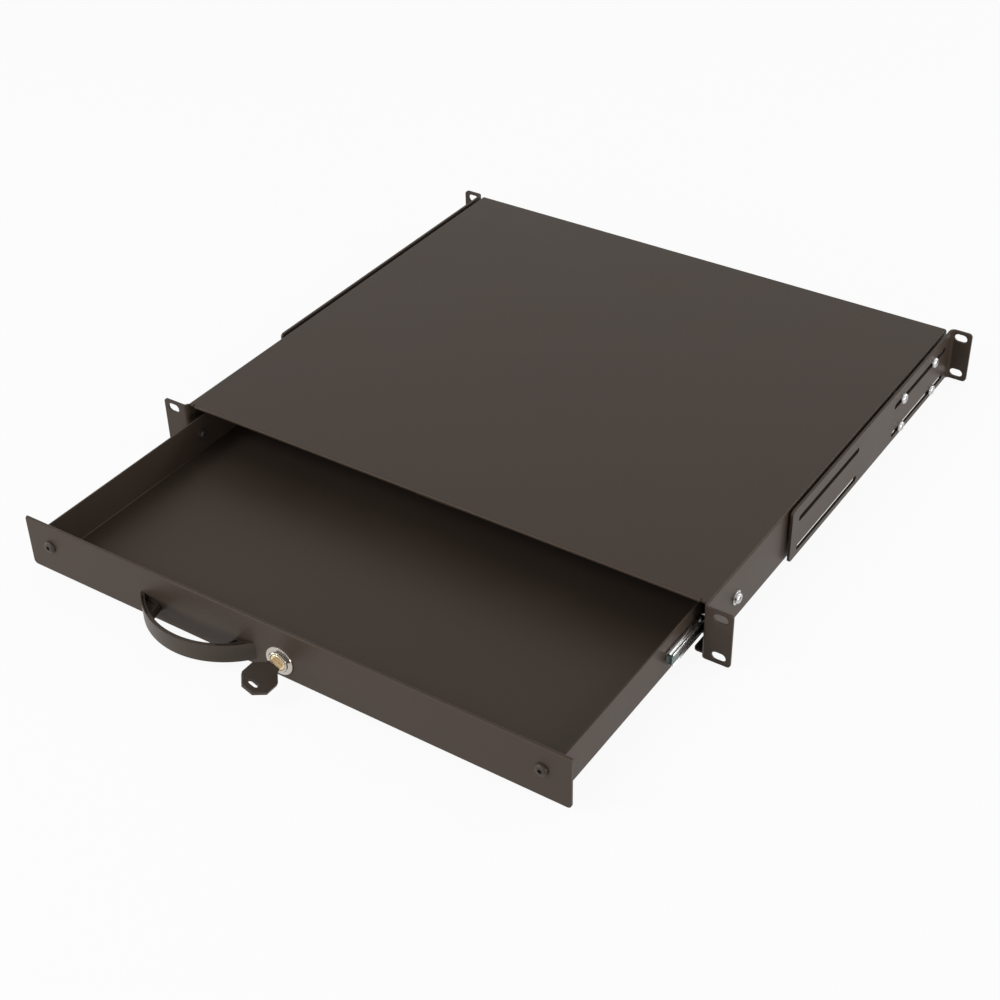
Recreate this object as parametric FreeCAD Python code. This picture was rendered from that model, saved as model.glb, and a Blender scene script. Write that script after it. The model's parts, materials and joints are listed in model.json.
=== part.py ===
import FreeCAD, Part
import math
import os

os.makedirs("parts", exist_ok=True)
V = FreeCAD.Vector

# ---------------------------------------------------------------- driving sizes (mm)
# Origin: centre of the front mounting plane, where the ears meet the rack posts.
# +X to the right, +Y back into the rack, +Z up.  The drawer is drawn part open.
EAR_SPAN = 482.6          # overall width over the ears of a 19 inch unit
HOLE_SPAN_X = 465.1       # rack hole pitch across
HOLE_SPAN_Z = 31.75       # rack hole pitch up, outer holes of one rack unit
UNIT_H = 43.6             # height of ears and case, one rack unit less clearance
CASE_W = 442.0            # case width outside
CASE_FRONT = 2.5          # front edge of the case top behind the ear plane
CASE_REAR = 401.0         # rear face of the case
SHEET = 1.5               # case and front panel sheet
LIP_W = 9.0               # bottom lips, turned inward
EAR_SLOT_L = 10.5
EAR_SLOT_W = 6.8
EAR_R = 2.5
BEND_R = 2.0              # outside bend of the case channel, inside bend of the ears
HEM = 12.0                # folded hem under the front edge of the top
HEM_END = 6.0             # hem stops this far from the case sides
BACK_RISE = 2.0           # lower edge of the rear wall above the underside of the case

DRAWER_OUT = 165.5        # front face of the panel ahead of the ear plane, as drawn
TRAVEL_IN = 160.5         # from the drawn position to shut
TRAVEL_OUT = 89.5         # from the drawn position to the open stop
PANEL_OVER = 0.5          # panel beyond the case on each side
PANEL_H = 40.0
PANEL_HEM = 6.0
TRAY_SHEET = 1.2
SLIDE_GAP = 8.2           # between tray and case wall, for the slide
TRAY_DEPTH = 370.0
TRAY_TOP = 13.0
TRAY_BASE = -17.1

SLIDE_Z = -2.0            # height of the slide centre line
RAIL_FRONT = 8.0
RAIL_L = 380.0
RUNNER_BACK = 131.0       # runner starts this far behind the panel face
RUNNER_L = 240.0
RAIL_T = 1.0              # strip of both slide members
BALL_R = 1.5
RACE_GAP = 0.1            # running gap round each ball
BALL_U = 4.2              # ball line in from the case wall
RACE_HALF = 8.5           # half height of the outer rail
CAGE_PITCH = 26.0
CAGE_BALLS = 4            # balls in each of the two rows
RAIL_STOP = 1.6           # tab at the front end of the rail
RUNNER_STOP = 1.5         # tab at the rear end of the runner
STOP_GAP = 0.3            # left between cage and tabs with the drawer fully open

ARM_T = 2.0               # rear bracket sheet
ARM_GAP = 2.2             # spacer between case wall and bracket arm
ARM_FRONT = 118.0
EAR_REAR = 405.0          # rear face of the rear ears
ARM_Z = -2.6              # middle of the two rows of slots
ARM_SLOT_OFF = 12.6       # each row above or below it
ARM_SLOT_L = 100.0
ARM_SLOT_W = 4.6
ARM_SLOTS_Y = (128.5, 292.5)
ARM_SCREWS_Y = (308.5, 368.5)
ARM_R = 3.0

RAIL_SCREW_Y = 43.5       # front fixing screw of the outer rail, with a washer
RAIL_WAFER_Y = 352.0      # rear fixing screw, thin-headed to pass under the arm
RUNNER_SCREW_Y = (2.0, 178.0)
PANEL_SCREW_IN = 10.3     # panel screws in from the tray sides
PANEL_SCREW_Z = 4.2

HANDLE_X = -68.5
HANDLE_Z = -6.2
HANDLE_H = 14.0
HANDLE_R = 63.3           # outside radius of the bow
HANDLE_T = 2.8
HANDLE_HALF = 49.5        # half length at the panel
FOOT_W = 16.0
FOOT_STEP = 3.6           # feet stand back from the edges of the bow
HANDLE_SCREW = 41.0       # screw each side of the middle

LOCK_X = 1.5
LOCK_Z = -4.8
LOCK_TURN = 68.0          # the plug is drawn this far round from locked
BEZEL_R = 10.8
BEZEL_FRONT_R = 7.6
BEZEL_H = 3.0
BARREL_R = 8.0
BARREL_L = 12.5           # barrel behind the panel face
PLUG_R = 5.7
PLUG_GAP = 0.05
CAM_L = 22.0
CAM_W = 8.4
CAM_HUB = 7.0
CAM_T = 2.0
TAIL = 7.0                # square tail of the plug
STRIKE_DROP = 4.8         # strike below the underside of the folded hem
STRIKE_FOOT = 4.5         # foot of the strike, welded under the hem
KEY_W = 21.8
KEY_L = 24.6
KEY_T = 3.0
BLADE_W = 7.6
BLADE_T = 2.0
BLADE_IN = 13.5           # blade inside the lock, from the front of the bezel
KEY_CUTS = (0.9, 0.5, 1.1, 0.4, 0.8)
KEY_GAP = 0.12

M4 = 2.0
M5 = 2.5
THREAD_GAP = 0.05         # screw in its thread
HOLE_GAP = 0.15           # screw through a sheet

# ---------------------------------------------------------------- worked out from them
TOP = UNIT_H / 2
BASE = -UNIT_H / 2
CASE_X = CASE_W / 2
WALL_X = CASE_X - SHEET
TRAY_X = WALL_X - SLIDE_GAP
PANEL_X = CASE_X + PANEL_OVER
PANEL_SCREW_X = TRAY_X - PANEL_SCREW_IN
PANEL_Y = -DRAWER_OUT
TRAY_Y = PANEL_Y + SHEET
TRAY_REAR = TRAY_Y + TRAY_DEPTH
PANEL_BASE = TOP - PANEL_H
RUNNER_FRONT = PANEL_Y + RUNNER_BACK
RUNNER_REAR = RUNNER_FRONT + RUNNER_L
CAGE_LIMIT = RAIL_FRONT + RAIL_STOP + 0.4 + STOP_GAP
CAGE_FRONT = CAGE_LIMIT + TRAVEL_OUT / 2
CAGE_L = RUNNER_REAR - RUNNER_STOP - TRAVEL_OUT - STOP_GAP - CAGE_LIMIT
RACE_R = BALL_R + RACE_GAP
BALL_W = RACE_HALF - RACE_R - RAIL_T
ARM_IN = CASE_X + ARM_GAP
ARM_OUT = ARM_IN + ARM_T
CAM_Y = PANEL_Y + BARREL_L + 1.0


# ---------------------------------------------------------------- small helpers
def box(x0, x1, y0, y1, z0, z1):
    return Part.makeBox(x1 - x0, y1 - y0, z1 - z0, V(x0, y0, z0))


def rod(r, p, d, h):
    return Part.makeCylinder(r, h, V(*p), V(*d))


def mirror_x(shape):
    return shape.mirror(V(0, 0, 0), V(1, 0, 0))


def fuse(first, *others):
    return first.fuse(list(others)).removeSplitter()


def save(name, shape):
    if isinstance(shape, (list, tuple)):
        shape = Part.makeCompound(list(shape)) if len(shape) > 1 else shape[0]
    shape.exportStep("parts/" + name + ".step")


def place(axis, a, b, h=0.0):
    """Point at (a, b) on the plane across the axis, h along it."""
    if axis == "X":
        return V(h, a, b)
    if axis == "Y":
        return V(a, h, b)
    return V(a, b, h)


def outline(points, axis, h):
    """Closed wire through the points; a third number rounds that corner."""
    n = len(points)
    edges = []
    starts = []
    ends = []
    for i in range(n):
        p = points[i]
        a = V(p[0], p[1], 0)
        if len(p) < 3 or p[2] <= 0:
            starts.append(a)
            ends.append(a)
            continue
        q = V(points[i - 1][0], points[i - 1][1], 0) - a
        s = V(points[(i + 1) % n][0], points[(i + 1) % n][1], 0) - a
        q.normalize()
        s.normalize()
        half = q.getAngle(s) / 2
        reach = p[2] / math.tan(half)
        mid = q + s
        mid.normalize()
        centre = a + mid * (p[2] / math.sin(half))
        on_arc = centre - mid * p[2]
        p1 = a + q * reach
        p2 = a + s * reach
        starts.append(p1)
        ends.append(p2)
        arc = Part.Arc(place(axis, p1.x, p1.y, h), place(axis, on_arc.x, on_arc.y, h),
                       place(axis, p2.x, p2.y, h))
        edges.append((i, arc.toShape()))
    wire = []
    arcs = dict(edges)
    for i in range(n):
        if i in arcs:
            wire.append(arcs[i])
        j = (i + 1) % n
        a, b = ends[i], starts[j]
        if (b - a).Length > 1e-6:
            wire.append(Part.makeLine(place(axis, a.x, a.y, h), place(axis, b.x, b.y, h)))
    return Part.Wire(Part.__sortEdges__(wire))


def extrude(points, axis, h0, h1):
    """Solid with the given outline, from h0 to h1 along the axis."""
    face = Part.Face(outline(points, axis, h0))
    return face.extrude(place(axis, 0, 0, h1 - h0))


def slot(axis, a, b, length, width, h0, h1):
    """Round-ended slot, long way first, centred at (a, b)."""
    x = length / 2
    y = width / 2
    return extrude([(a - x, b - y, y - 1e-4), (a + x, b - y, y - 1e-4),
                    (a + x, b + y, y - 1e-4), (a - x, b + y, y - 1e-4)], axis, h0, h1)


def hexagon(flats, axis, a, b, h0, h1):
    r = flats / math.sqrt(3)
    pts = []
    for i in range(6):
        t = math.radians(60 * i + 30)
        pts.append((a + r * math.cos(t), b + r * math.sin(t)))
    return extrude(pts, axis, h0, h1)


def aim(shape, p, d):
    """Move a shape drawn up the Z axis so that it stands at p and points along d."""
    turned = shape.copy()
    turned.Placement = FreeCAD.Placement(V(*p), FreeCAD.Rotation(V(0, 0, 1), V(*d)))
    return turned


def pan_screw(r, head_r, head_h, length):
    """Pan head screw: shank down from z = 0, head above."""
    pts = [(0, -length), (r, -length), (r, 0), (head_r, 0), (head_r, head_h * 0.5),
           (head_r - 0.35 * head_h, head_h), (0, head_h)]
    wire = Part.makePolygon([V(x, 0, z) for x, z in pts] + [V(0, 0, -length)])
    return Part.Face(wire).revolve(V(0, 0, 0), V(0, 0, 1), 360)


def button_screw(r, head_r, head_h, length, key):
    """Low domed screw with a hexagon socket."""
    rise = (head_r ** 2 - (head_r * 0.45) ** 2 - head_h ** 2) / (2 * head_h)
    ball = math.sqrt(head_r ** 2 + rise ** 2)
    mid_r = head_r * 0.8
    mid_z = math.sqrt(ball ** 2 - mid_r ** 2) - rise
    flat = head_r * 0.45
    edges = [Part.makeLine(V(0, 0, -length), V(r, 0, -length)),
             Part.makeLine(V(r, 0, -length), V(r, 0, 0)),
             Part.makeLine(V(r, 0, 0), V(head_r, 0, 0)),
             Part.Arc(V(head_r, 0, 0), V(mid_r, 0, mid_z), V(flat, 0, head_h)).toShape(),
             Part.makeLine(V(flat, 0, head_h), V(0, 0, head_h)),
             Part.makeLine(V(0, 0, head_h), V(0, 0, -length))]
    body = Part.Face(Part.Wire(edges)).revolve(V(0, 0, 0), V(0, 0, 1), 360)
    return body.cut(hexagon(key, "Z", 0, 0, head_h - 1.5, head_h + 1))


def washer(r_in, r_out, t):
    return Part.makeCylinder(r_out, t).cut(Part.makeCylinder(r_in, t))


def nut(flats, thread_r, h):
    return hexagon(flats, "Z", 0, 0, 0, h).cut(Part.makeCylinder(thread_r, h))


# ---------------------------------------------------------------- case
def case_channel():
    """Top, sides and inward bottom lips, folded from one sheet."""
    x, w = CASE_X, WALL_X
    lip = x - LIP_W
    r, q = BEND_R, BEND_R - SHEET
    pts = [(-lip, BASE), (-x, BASE, r), (-x, TOP, r), (x, TOP, r), (x, BASE, r), (lip, BASE),
           (lip, BASE + SHEET), (w, BASE + SHEET, q), (w, TOP - SHEET, q),
           (-w, TOP - SHEET, q), (-w, BASE + SHEET, q), (-lip, BASE + SHEET)]
    body = extrude(pts, "Y", CASE_FRONT, CASE_REAR)
    corners = []
    for s in (-1, 1):
        corner = box(lip - 0.5, lip + 3.0, CASE_FRONT - 1, CASE_FRONT + 3.0, BASE - 1,
                     BASE + SHEET + 0.1)
        corner = corner.cut(rod(3.0, (lip + 3.0, CASE_FRONT + 3.0, BASE - 2), (0, 0, 1), 6))
        corners.append(corner if s > 0 else mirror_x(corner))
    return body.cut(corners)


def case_hem():
    """Front edge of the top, folded under on itself."""
    x = CASE_X - HEM_END
    y = CASE_FRONT
    pts = [(y + HEM, TOP), (y, TOP, SHEET - 1e-4), (y, TOP - 2 * SHEET, SHEET - 1e-4),
           (y + HEM, TOP - 2 * SHEET)]
    return extrude(pts, "X", -x, x)


def case_back():
    """Rear wall, a plate welded in under the top and between the side walls."""
    y = CASE_REAR
    z = BASE + BACK_RISE
    r = BEND_R - SHEET + HOLE_GAP
    pts = [(-WALL_X, z), (WALL_X, z), (WALL_X, TOP - SHEET, r), (-WALL_X, TOP - SHEET, r)]
    return extrude(pts, "Y", y - SHEET, y)


def case_ear():
    """Front ear on the right, turned out of the side wall."""
    x, w = CASE_X, WALL_X
    end = EAR_SPAN / 2
    pts = [(w, CASE_FRONT), (w, -SHEET, BEND_R + SHEET), (end, -SHEET), (end, 0),
           (x, 0, BEND_R), (x, CASE_FRONT)]
    ear = extrude(pts, "Z", BASE, TOP)
    mask = extrude([(w - 5, BASE), (end, BASE, EAR_R), (end, TOP, EAR_R), (w - 5, TOP)],
                   "Y", -SHEET - 1, CASE_FRONT + 1)
    ear = ear.common(mask)
    holes = []
    for z in (-HOLE_SPAN_Z / 2, HOLE_SPAN_Z / 2):
        holes.append(slot("Y", HOLE_SPAN_X / 2, z, EAR_SLOT_L, EAR_SLOT_W, -SHEET - 1, 1))
    return ear.cut(holes)


def wall_holes():
    """Screw holes through the right side wall."""
    cuts = []
    for y in (RAIL_SCREW_Y, RAIL_WAFER_Y):
        cuts.append(rod(M4 + HOLE_GAP, (WALL_X - 1, y, SLIDE_Z), (1, 0, 0), SHEET + 2))
    for y in ARM_SCREWS_Y:
        for s in (-1, 1):
            z = ARM_Z + s * ARM_SLOT_OFF
            cuts.append(rod(M4 + HOLE_GAP, (WALL_X - 1, y, z), (1, 0, 0), SHEET + 2))
    return cuts


def case_shell():
    body = case_channel()
    x = CASE_X - HEM_END
    body = body.cut(box(-x, x, CASE_FRONT - 1, CASE_FRONT + SHEET, TOP - SHEET - 0.01, TOP + 1))
    ear = case_ear()
    body = fuse(body, case_hem(), ear, mirror_x(ear))
    cuts = wall_holes()
    return body.cut(cuts + [mirror_x(c) for c in cuts])


def case_strap(y0):
    """Flat tie across the bottom, welded to both lips."""
    x = WALL_X - 0.8
    z = BASE + SHEET
    pts = [(y0, z), (y0 + 30, z), (y0 + 30, z + TRAY_SHEET), (y0 + 21, z + TRAY_SHEET),
           (y0 + 20, z + TRAY_SHEET + 0.6), (y0 + 10, z + TRAY_SHEET + 0.6),
           (y0 + 9, z + TRAY_SHEET), (y0, z + TRAY_SHEET)]
    return extrude(pts, "X", -x, x)


def lock_strike():
    """Angle welded under the front hem; the lock cam turns up behind its leg."""
    y = CAM_Y + TRAVEL_IN - 0.5
    z = TOP - 2 * SHEET
    foot = y - STRIKE_FOOT
    pts = [(foot, z), (foot, z - SHEET), (y - SHEET, z - SHEET, 0.5),
           (y - SHEET, z - STRIKE_DROP), (y, z - STRIKE_DROP), (y, z, 2.0)]
    return extrude(pts, "X", LOCK_X - 15, LOCK_X + 15)


# ---------------------------------------------------------------- ball slides
def arc_points(cu, cw, r, a0, a1):
    """Start, middle and end of an arc in the slide's own section."""
    out = []
    for a in (a0, (a0 + a1) / 2, a1):
        t = math.radians(a)
        out.append((cu + r * math.cos(t), cw + r * math.sin(t)))
    return out


def section(path, y0, y1):
    """Extrude a slide section along Y. u runs in from the right case wall."""
    def at(p):
        return V(WALL_X - p[0], y0, SLIDE_Z + p[1])
    edges = []
    last = None
    first = None
    for item in path:
        pts = item if isinstance(item, list) else [item]
        if last is not None and (at(pts[0]) - at(last)).Length > 1e-6:
            edges.append(Part.makeLine(at(last), at(pts[0])))
        if len(pts) == 3:
            edges.append(Part.Arc(at(pts[0]), at(pts[1]), at(pts[2])).toShape())
        if first is None:
            first = pts[0]
        last = pts[-1]
    edges.append(Part.makeLine(at(last), at(first)))
    return Part.Face(Part.Wire(edges)).extrude(V(0, y1 - y0, 0))


def flip(path):
    """The same run of points on the lower half, walked the other way."""
    out = []
    for item in reversed(path):
        if isinstance(item, list):
            out.append([(u, -w) for u, w in reversed(item)])
        else:
            out.append((item[0], -item[1]))
    return out


def outer_rail():
    """Fixed member: a channel whose two edges roll round the balls."""
    t = RAIL_T
    race, back = RACE_R, RACE_R + t
    inner = arc_points(BALL_U, BALL_W, race, 140, 40)
    flat_w = inner[0][1]
    outer_w = flat_w + t
    meet = 180 - math.degrees(math.asin((outer_w - BALL_W) / back))
    outer = arc_points(BALL_U, BALL_W, back, 40, meet)
    upper = [(t, flat_w), inner, outer, (0.6, outer_w), (0, outer_w - 0.6)]
    rail = section(upper + flip(upper), RAIL_FRONT, RAIL_FRONT + RAIL_L)
    stop = box(WALL_X - 2.1, WALL_X - 0.5, RAIL_FRONT + 0.4, RAIL_FRONT + 0.4 + RAIL_STOP,
               SLIDE_Z - 2.5, SLIDE_Z + 2.5)
    holes = []
    for y in (RAIL_SCREW_Y, RAIL_WAFER_Y):
        holes.append(rod(M4 + THREAD_GAP, (WALL_X - 3, y, SLIDE_Z), (1, 0, 0), 4))
    return fuse(rail, stop).cut(holes)


def runner():
    """Moving member on the tray: its edges roll round the inside of the balls."""
    t = RAIL_T
    race, back = RACE_R, RACE_R + t
    g = SLIDE_GAP
    outer = arc_points(BALL_U, BALL_W, race, -40, -140)
    flat_w = outer[0][1]
    inner_w = flat_w - t
    meet = -math.degrees(math.asin((BALL_W - inner_w) / back))
    inner = arc_points(BALL_U, BALL_W, back, -140, meet)
    upper = [(g, flat_w - 0.6), (g - 0.6, flat_w), outer, inner, (g - t, inner_w)]
    body = section(upper + flip(upper), RUNNER_FRONT, RUNNER_REAR)
    stop = box(TRAY_X + 0.5, WALL_X - 1.4, RUNNER_REAR - RUNNER_STOP, RUNNER_REAR,
               SLIDE_Z - 2.2, SLIDE_Z + 2.2)
    holes = []
    for y in RUNNER_SCREW_Y:
        holes.append(rod(M4 + THREAD_GAP, (TRAY_X - 1, y, SLIDE_Z), (1, 0, 0), 4))
    return fuse(body, stop).cut(holes)


def runner_bumper():
    """Plastic plug in the front end of the runner."""
    y = RUNNER_FRONT
    w = BALL_W - RACE_R - RAIL_T - 0.05
    face = [(TRAY_X + RAIL_T, SLIDE_Z - w), (WALL_X - 3.0, SLIDE_Z - w, 1.0),
            (WALL_X - 3.0, SLIDE_Z + w, 1.0), (TRAY_X + RAIL_T, SLIDE_Z + w)]
    body = extrude(face, "Y", y - 1.0, y + 8.0)
    return body.cut(box(WALL_X - 4.4, WALL_X - 2, y + 2.0, y + 6.0, SLIDE_Z - 1, SLIDE_Z + 1))


def ball_places():
    out = []
    for i in range(CAGE_BALLS):
        y = CAGE_FRONT + (CAGE_L - CAGE_PITCH * (CAGE_BALLS - 1)) / 2 + i * CAGE_PITCH
        for s in (-1, 1):
            out.append((WALL_X - BALL_U, y, SLIDE_Z + s * BALL_W))
    return out


def ball_cage():
    """Thin retainer that keeps the balls apart."""
    x0, x1 = WALL_X - 5.6, WALL_X - 1.3
    top = BALL_W + 0.4
    web = 0.6
    r = RACE_R
    pts = [(x0, SLIDE_Z + top), (x1, SLIDE_Z + top), (x1, SLIDE_Z - top), (x0, SLIDE_Z - top),
           (x0, SLIDE_Z - top + 0.8), (x1 - web, SLIDE_Z - top + 0.8),
           (x1 - web, SLIDE_Z + top - 0.8), (x0, SLIDE_Z + top - 0.8)]
    body = extrude(pts, "Y", CAGE_FRONT, CAGE_FRONT + CAGE_L)
    pockets = []
    for x, y, z in ball_places():
        pockets.append(box(x - r, x + r, y - r, y + r, z - 1, z + 1))
        if z > SLIDE_Z:
            pockets.append(box(x1 - 2, x1 + 1, y - 5, y + 5, SLIDE_Z - 2, SLIDE_Z + 2))
    return body.cut(pockets)


def ball(x, y, z):
    """Ball with few faces; its corners lie on the true sphere."""
    rings = []
    for i in range(1, 4):
        lat = math.radians(45 * i)
        ring = []
        for k in range(8):
            lon = math.radians(45 * k)
            ring.append(V(x + BALL_R * math.sin(lat) * math.cos(lon),
                          y + BALL_R * math.sin(lat) * math.sin(lon),
                          z + BALL_R * math.cos(lat)))
        rings.append(ring)
    faces = []
    for k in range(8):
        j = (k + 1) % 8
        for a, b in ((rings[0], rings[1]), (rings[1], rings[2])):
            faces.append([a[k], b[k], b[j], a[j]])
        faces.append([V(x, y, z + BALL_R), rings[0][k], rings[0][j]])
        faces.append([V(x, y, z - BALL_R), rings[2][j], rings[2][k]])
    shell = Part.makeShell([Part.Face(Part.makePolygon(f + [f[0]])) for f in faces])
    return Part.makeSolid(shell)


def balls():
    return [ball(*p) for p in ball_places()]


# ---------------------------------------------------------------- slide fixings
def rail_screws():
    """Front fixing screw of the outer rail, from outside the case."""
    reach = SHEET + RAIL_T + 1.0
    return [aim(pan_screw(M4, 4.0, 2.6, reach), (CASE_X + 1.0, RAIL_SCREW_Y, SLIDE_Z),
                (1, 0, 0))]


def rail_washers():
    return [aim(washer(M4 + HOLE_GAP, 5.4, 1.0), (CASE_X, RAIL_SCREW_Y, SLIDE_Z), (1, 0, 0))]


def rail_wafer():
    """Thin-headed screw that passes under the bracket arm."""
    head = pan_screw(M4, 4.6, 1.4, SHEET + RAIL_T)
    return aim(head, (CASE_X, RAIL_WAFER_Y, SLIDE_Z), (1, 0, 0))


def runner_screws():
    """Pan heads with a flange, from inside the tray into the runner."""
    reach = TRAY_SHEET + RAIL_T + 0.8
    body = pan_screw(M4, 3.9, 3.1, reach).fuse(Part.makeCylinder(5.2, 0.8))
    return [aim(body, (TRAY_X - TRAY_SHEET, y, SLIDE_Z), (-1, 0, 0))
            for y in RUNNER_SCREW_Y]


# ---------------------------------------------------------------- rear brackets
def bracket():
    """Slotted arm outside the case with an ear at its rear end."""
    end = EAR_SPAN / 2
    pts = [(ARM_IN, ARM_FRONT), (ARM_OUT, ARM_FRONT), (ARM_OUT, EAR_REAR - ARM_T, 2.5),
           (end, EAR_REAR - ARM_T), (end, EAR_REAR), (ARM_IN, EAR_REAR, 2.5 + ARM_T)]
    body = extrude(pts, "Z", BASE, TOP)
    side = extrude([(ARM_FRONT, BASE, ARM_R), (EAR_REAR + 1, BASE), (EAR_REAR + 1, TOP),
                    (ARM_FRONT, TOP, ARM_R)], "X", ARM_IN - 1, end + 1)
    back = extrude([(ARM_IN - 1, BASE), (end, BASE, ARM_R), (end, TOP, ARM_R),
                    (ARM_IN - 1, TOP)], "Y", ARM_FRONT - 1, EAR_REAR + 1)
    body = body.common(side).common(back)
    cuts = []
    for s in (-1, 1):
        z = ARM_Z + s * ARM_SLOT_OFF
        for y in ARM_SLOTS_Y:
            cuts.append(slot("X", y + ARM_SLOT_L / 2, z, ARM_SLOT_L, ARM_SLOT_W,
                             ARM_IN - 1, ARM_OUT + 1))
        cuts.append(slot("Y", HOLE_SPAN_X / 2, s * HOLE_SPAN_Z / 2, EAR_SLOT_L, EAR_SLOT_W,
                         EAR_REAR - ARM_T - 1, EAR_REAR + 1))
    return body.cut(cuts)


def bracket_places():
    return [(y, ARM_Z + s * ARM_SLOT_OFF) for y in ARM_SCREWS_Y for s in (-1, 1)]


def bracket_screws():
    reach = ARM_T + ARM_GAP + SHEET + 3.4
    return [aim(pan_screw(M4, 4.2, 2.6, reach), (ARM_OUT, y, z), (1, 0, 0))
            for y, z in bracket_places()]


def bracket_spacers():
    return [aim(washer(M4 + HOLE_GAP, 5.0, ARM_GAP), (CASE_X, y, z), (1, 0, 0))
            for y, z in bracket_places()]


def bracket_nuts():
    return [aim(nut(7.0, M4 + THREAD_GAP, 3.2), (WALL_X, y, z), (-1, 0, 0))
            for y, z in bracket_places()]


# ---------------------------------------------------------------- drawer
def tray():
    """Open box folded from one sheet, with slits where the walls meet."""
    x, t = TRAY_X, TRAY_SHEET
    y0, y1 = TRAY_Y, TRAY_REAR
    outer = extrude([(-x, TRAY_TOP), (-x, TRAY_BASE, 1.8), (x, TRAY_BASE, 1.8), (x, TRAY_TOP)],
                    "Y", y0, y1)
    inner = extrude([(-x + t, TRAY_TOP + 1), (-x + t, TRAY_BASE + t, 0.6),
                     (x - t, TRAY_BASE + t, 0.6), (x - t, TRAY_TOP + 1)], "Y", y0 + t, y1 - t)
    body = outer.cut(inner)
    cuts = []
    for s in (-1, 1):
        a, b = sorted((s * (x - t), s * (x - t - 0.5)))
        for u, v in ((y0 - 1, y0 + t + 0.01), (y1 - t - 0.01, y1 + 1)):
            cuts.append(box(a, b, u, v, TRAY_BASE + t + 1.0, TRAY_TOP + 1))
        for y in RUNNER_SCREW_Y:
            cuts.append(rod(M4 + HOLE_GAP, (s * x - 3, y, SLIDE_Z), (1, 0, 0), 6))
    return body.cut(cuts).cut(front_holes(y0 - 1, y0 + t + 1))


def front_holes(y0, y1):
    """Holes through the panel and the tray front for lock, handle and screws."""
    h = y1 - y0
    cuts = []
    for s in (-1, 1):
        cuts.append(rod(M5 + HOLE_GAP, (s * PANEL_SCREW_X, y0, PANEL_SCREW_Z), (0, 1, 0), h))
        cuts.append(rod(M4 + HOLE_GAP, (HANDLE_X + s * HANDLE_SCREW, y0, HANDLE_Z),
                        (0, 1, 0), h))
    lock = rod(BARREL_R + 0.1, (LOCK_X, y0, LOCK_Z), (0, 1, 0), h)
    flats = box(LOCK_X - 7.1, LOCK_X + 7.1, y0, y1, LOCK_Z - 20, LOCK_Z + 20)
    cuts.append(lock.common(flats))
    return cuts


def front_panel():
    """Drawer front with its top edge folded back."""
    x = PANEL_X
    y = PANEL_Y
    plate = extrude([(-x, TOP - 2 * SHEET), (-x, PANEL_BASE, 3.0), (x, PANEL_BASE, 3.0),
                     (x, TOP - 2 * SHEET)], "Y", y, y + SHEET)
    hem = extrude([(y, TOP - PANEL_HEM), (y, TOP, SHEET - 1e-4),
                   (y + 2 * SHEET, TOP, SHEET - 1e-4), (y + 2 * SHEET, TOP - PANEL_HEM)],
                  "X", -x, x)
    plate = plate.cut(box(-x - 1, x + 1, y - 1, y + 3, TOP - PANEL_HEM, TOP + 1))
    return fuse(plate, hem).cut(front_holes(y - 1, y + SHEET + 1))


def panel_screws():
    out = []
    for s in (-1, 1):
        body = button_screw(M5, 4.75, 2.75, SHEET + TRAY_SHEET + 5.0, 3.0)
        out.append(aim(body, (s * PANEL_SCREW_X, PANEL_Y, PANEL_SCREW_Z), (0, -1, 0)))
    return out


def panel_nuts():
    y = TRAY_Y + TRAY_SHEET
    return [aim(nut(8.0, M5 + THREAD_GAP, 4.0), (s * PANEL_SCREW_X, y, PANEL_SCREW_Z),
                (0, 1, 0)) for s in (-1, 1)]


# ---------------------------------------------------------------- bow handle
def ring_part(r_out, r_in, z0, z1):
    cy = bow_centre()
    ring = rod(r_out, (HANDLE_X, cy, z0), (0, 0, 1), z1 - z0)
    if r_in > 0:
        ring = ring.cut(rod(r_in, (HANDLE_X, cy, z0 - 1), (0, 0, 1), z1 - z0 + 2))
    ahead = box(HANDLE_X - 80, HANDLE_X + 80, PANEL_Y - 60, PANEL_Y, z0 - 1, z1 + 1)
    return ring.common(ahead)


def bow_centre():
    """The bow's centre lies behind the panel so that it meets it at HANDLE_HALF."""
    return PANEL_Y + math.sqrt(HANDLE_R ** 2 - HANDLE_HALF ** 2)


def handle():
    """One-piece bow with a triangular foot at each end."""
    z0, z1 = HANDLE_Z - HANDLE_H / 2, HANDLE_Z + HANDLE_H / 2
    bow = ring_part(HANDLE_R, HANDLE_R - HANDLE_T, z0, z1)
    disc = ring_part(HANDLE_R - HANDLE_T / 2, 0, z0 + FOOT_STEP, z1 - FOOT_STEP)
    feet = []
    for s in (-1, 1):
        out = HANDLE_X + s * (HANDLE_HALF + 1)
        base = HANDLE_X + s * (HANDLE_HALF - FOOT_W)
        tip = base - s * 5.5
        wedge = extrude([(out, PANEL_Y), (base, PANEL_Y), (tip, PANEL_Y - 24),
                         (out, PANEL_Y - 24)], "Z", z0 + FOOT_STEP, z1 - FOOT_STEP)
        feet.append(wedge.common(disc))
    body = fuse(bow, *feet)
    cuts = []
    for s in (-1, 1):
        cuts.append(rod(M4 + THREAD_GAP, (HANDLE_X + s * HANDLE_SCREW, PANEL_Y - 7.4, HANDLE_Z),
                        (0, 1, 0), 8))
    return body.cut(cuts).cut(handle_grooves(z0, z1))


def handle_grooves(z0, z1):
    """Fine groove along both edges of the bow near each foot."""
    r = HANDLE_R - HANDLE_T / 2
    cuts = []
    for za, zb in ((z0 - 1, z0 + 2.4), (z1 - 2.4, z1 + 1)):
        ring = ring_part(r + 0.4, r - 0.4, za, zb)
        for s in (-1, 1):
            a, b = sorted((HANDLE_X + s * 29, HANDLE_X + s * 46))
            cuts.append(ring.common(box(a, b, PANEL_Y - 30, PANEL_Y - 1, za - 1, zb + 1)))
    return cuts


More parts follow.
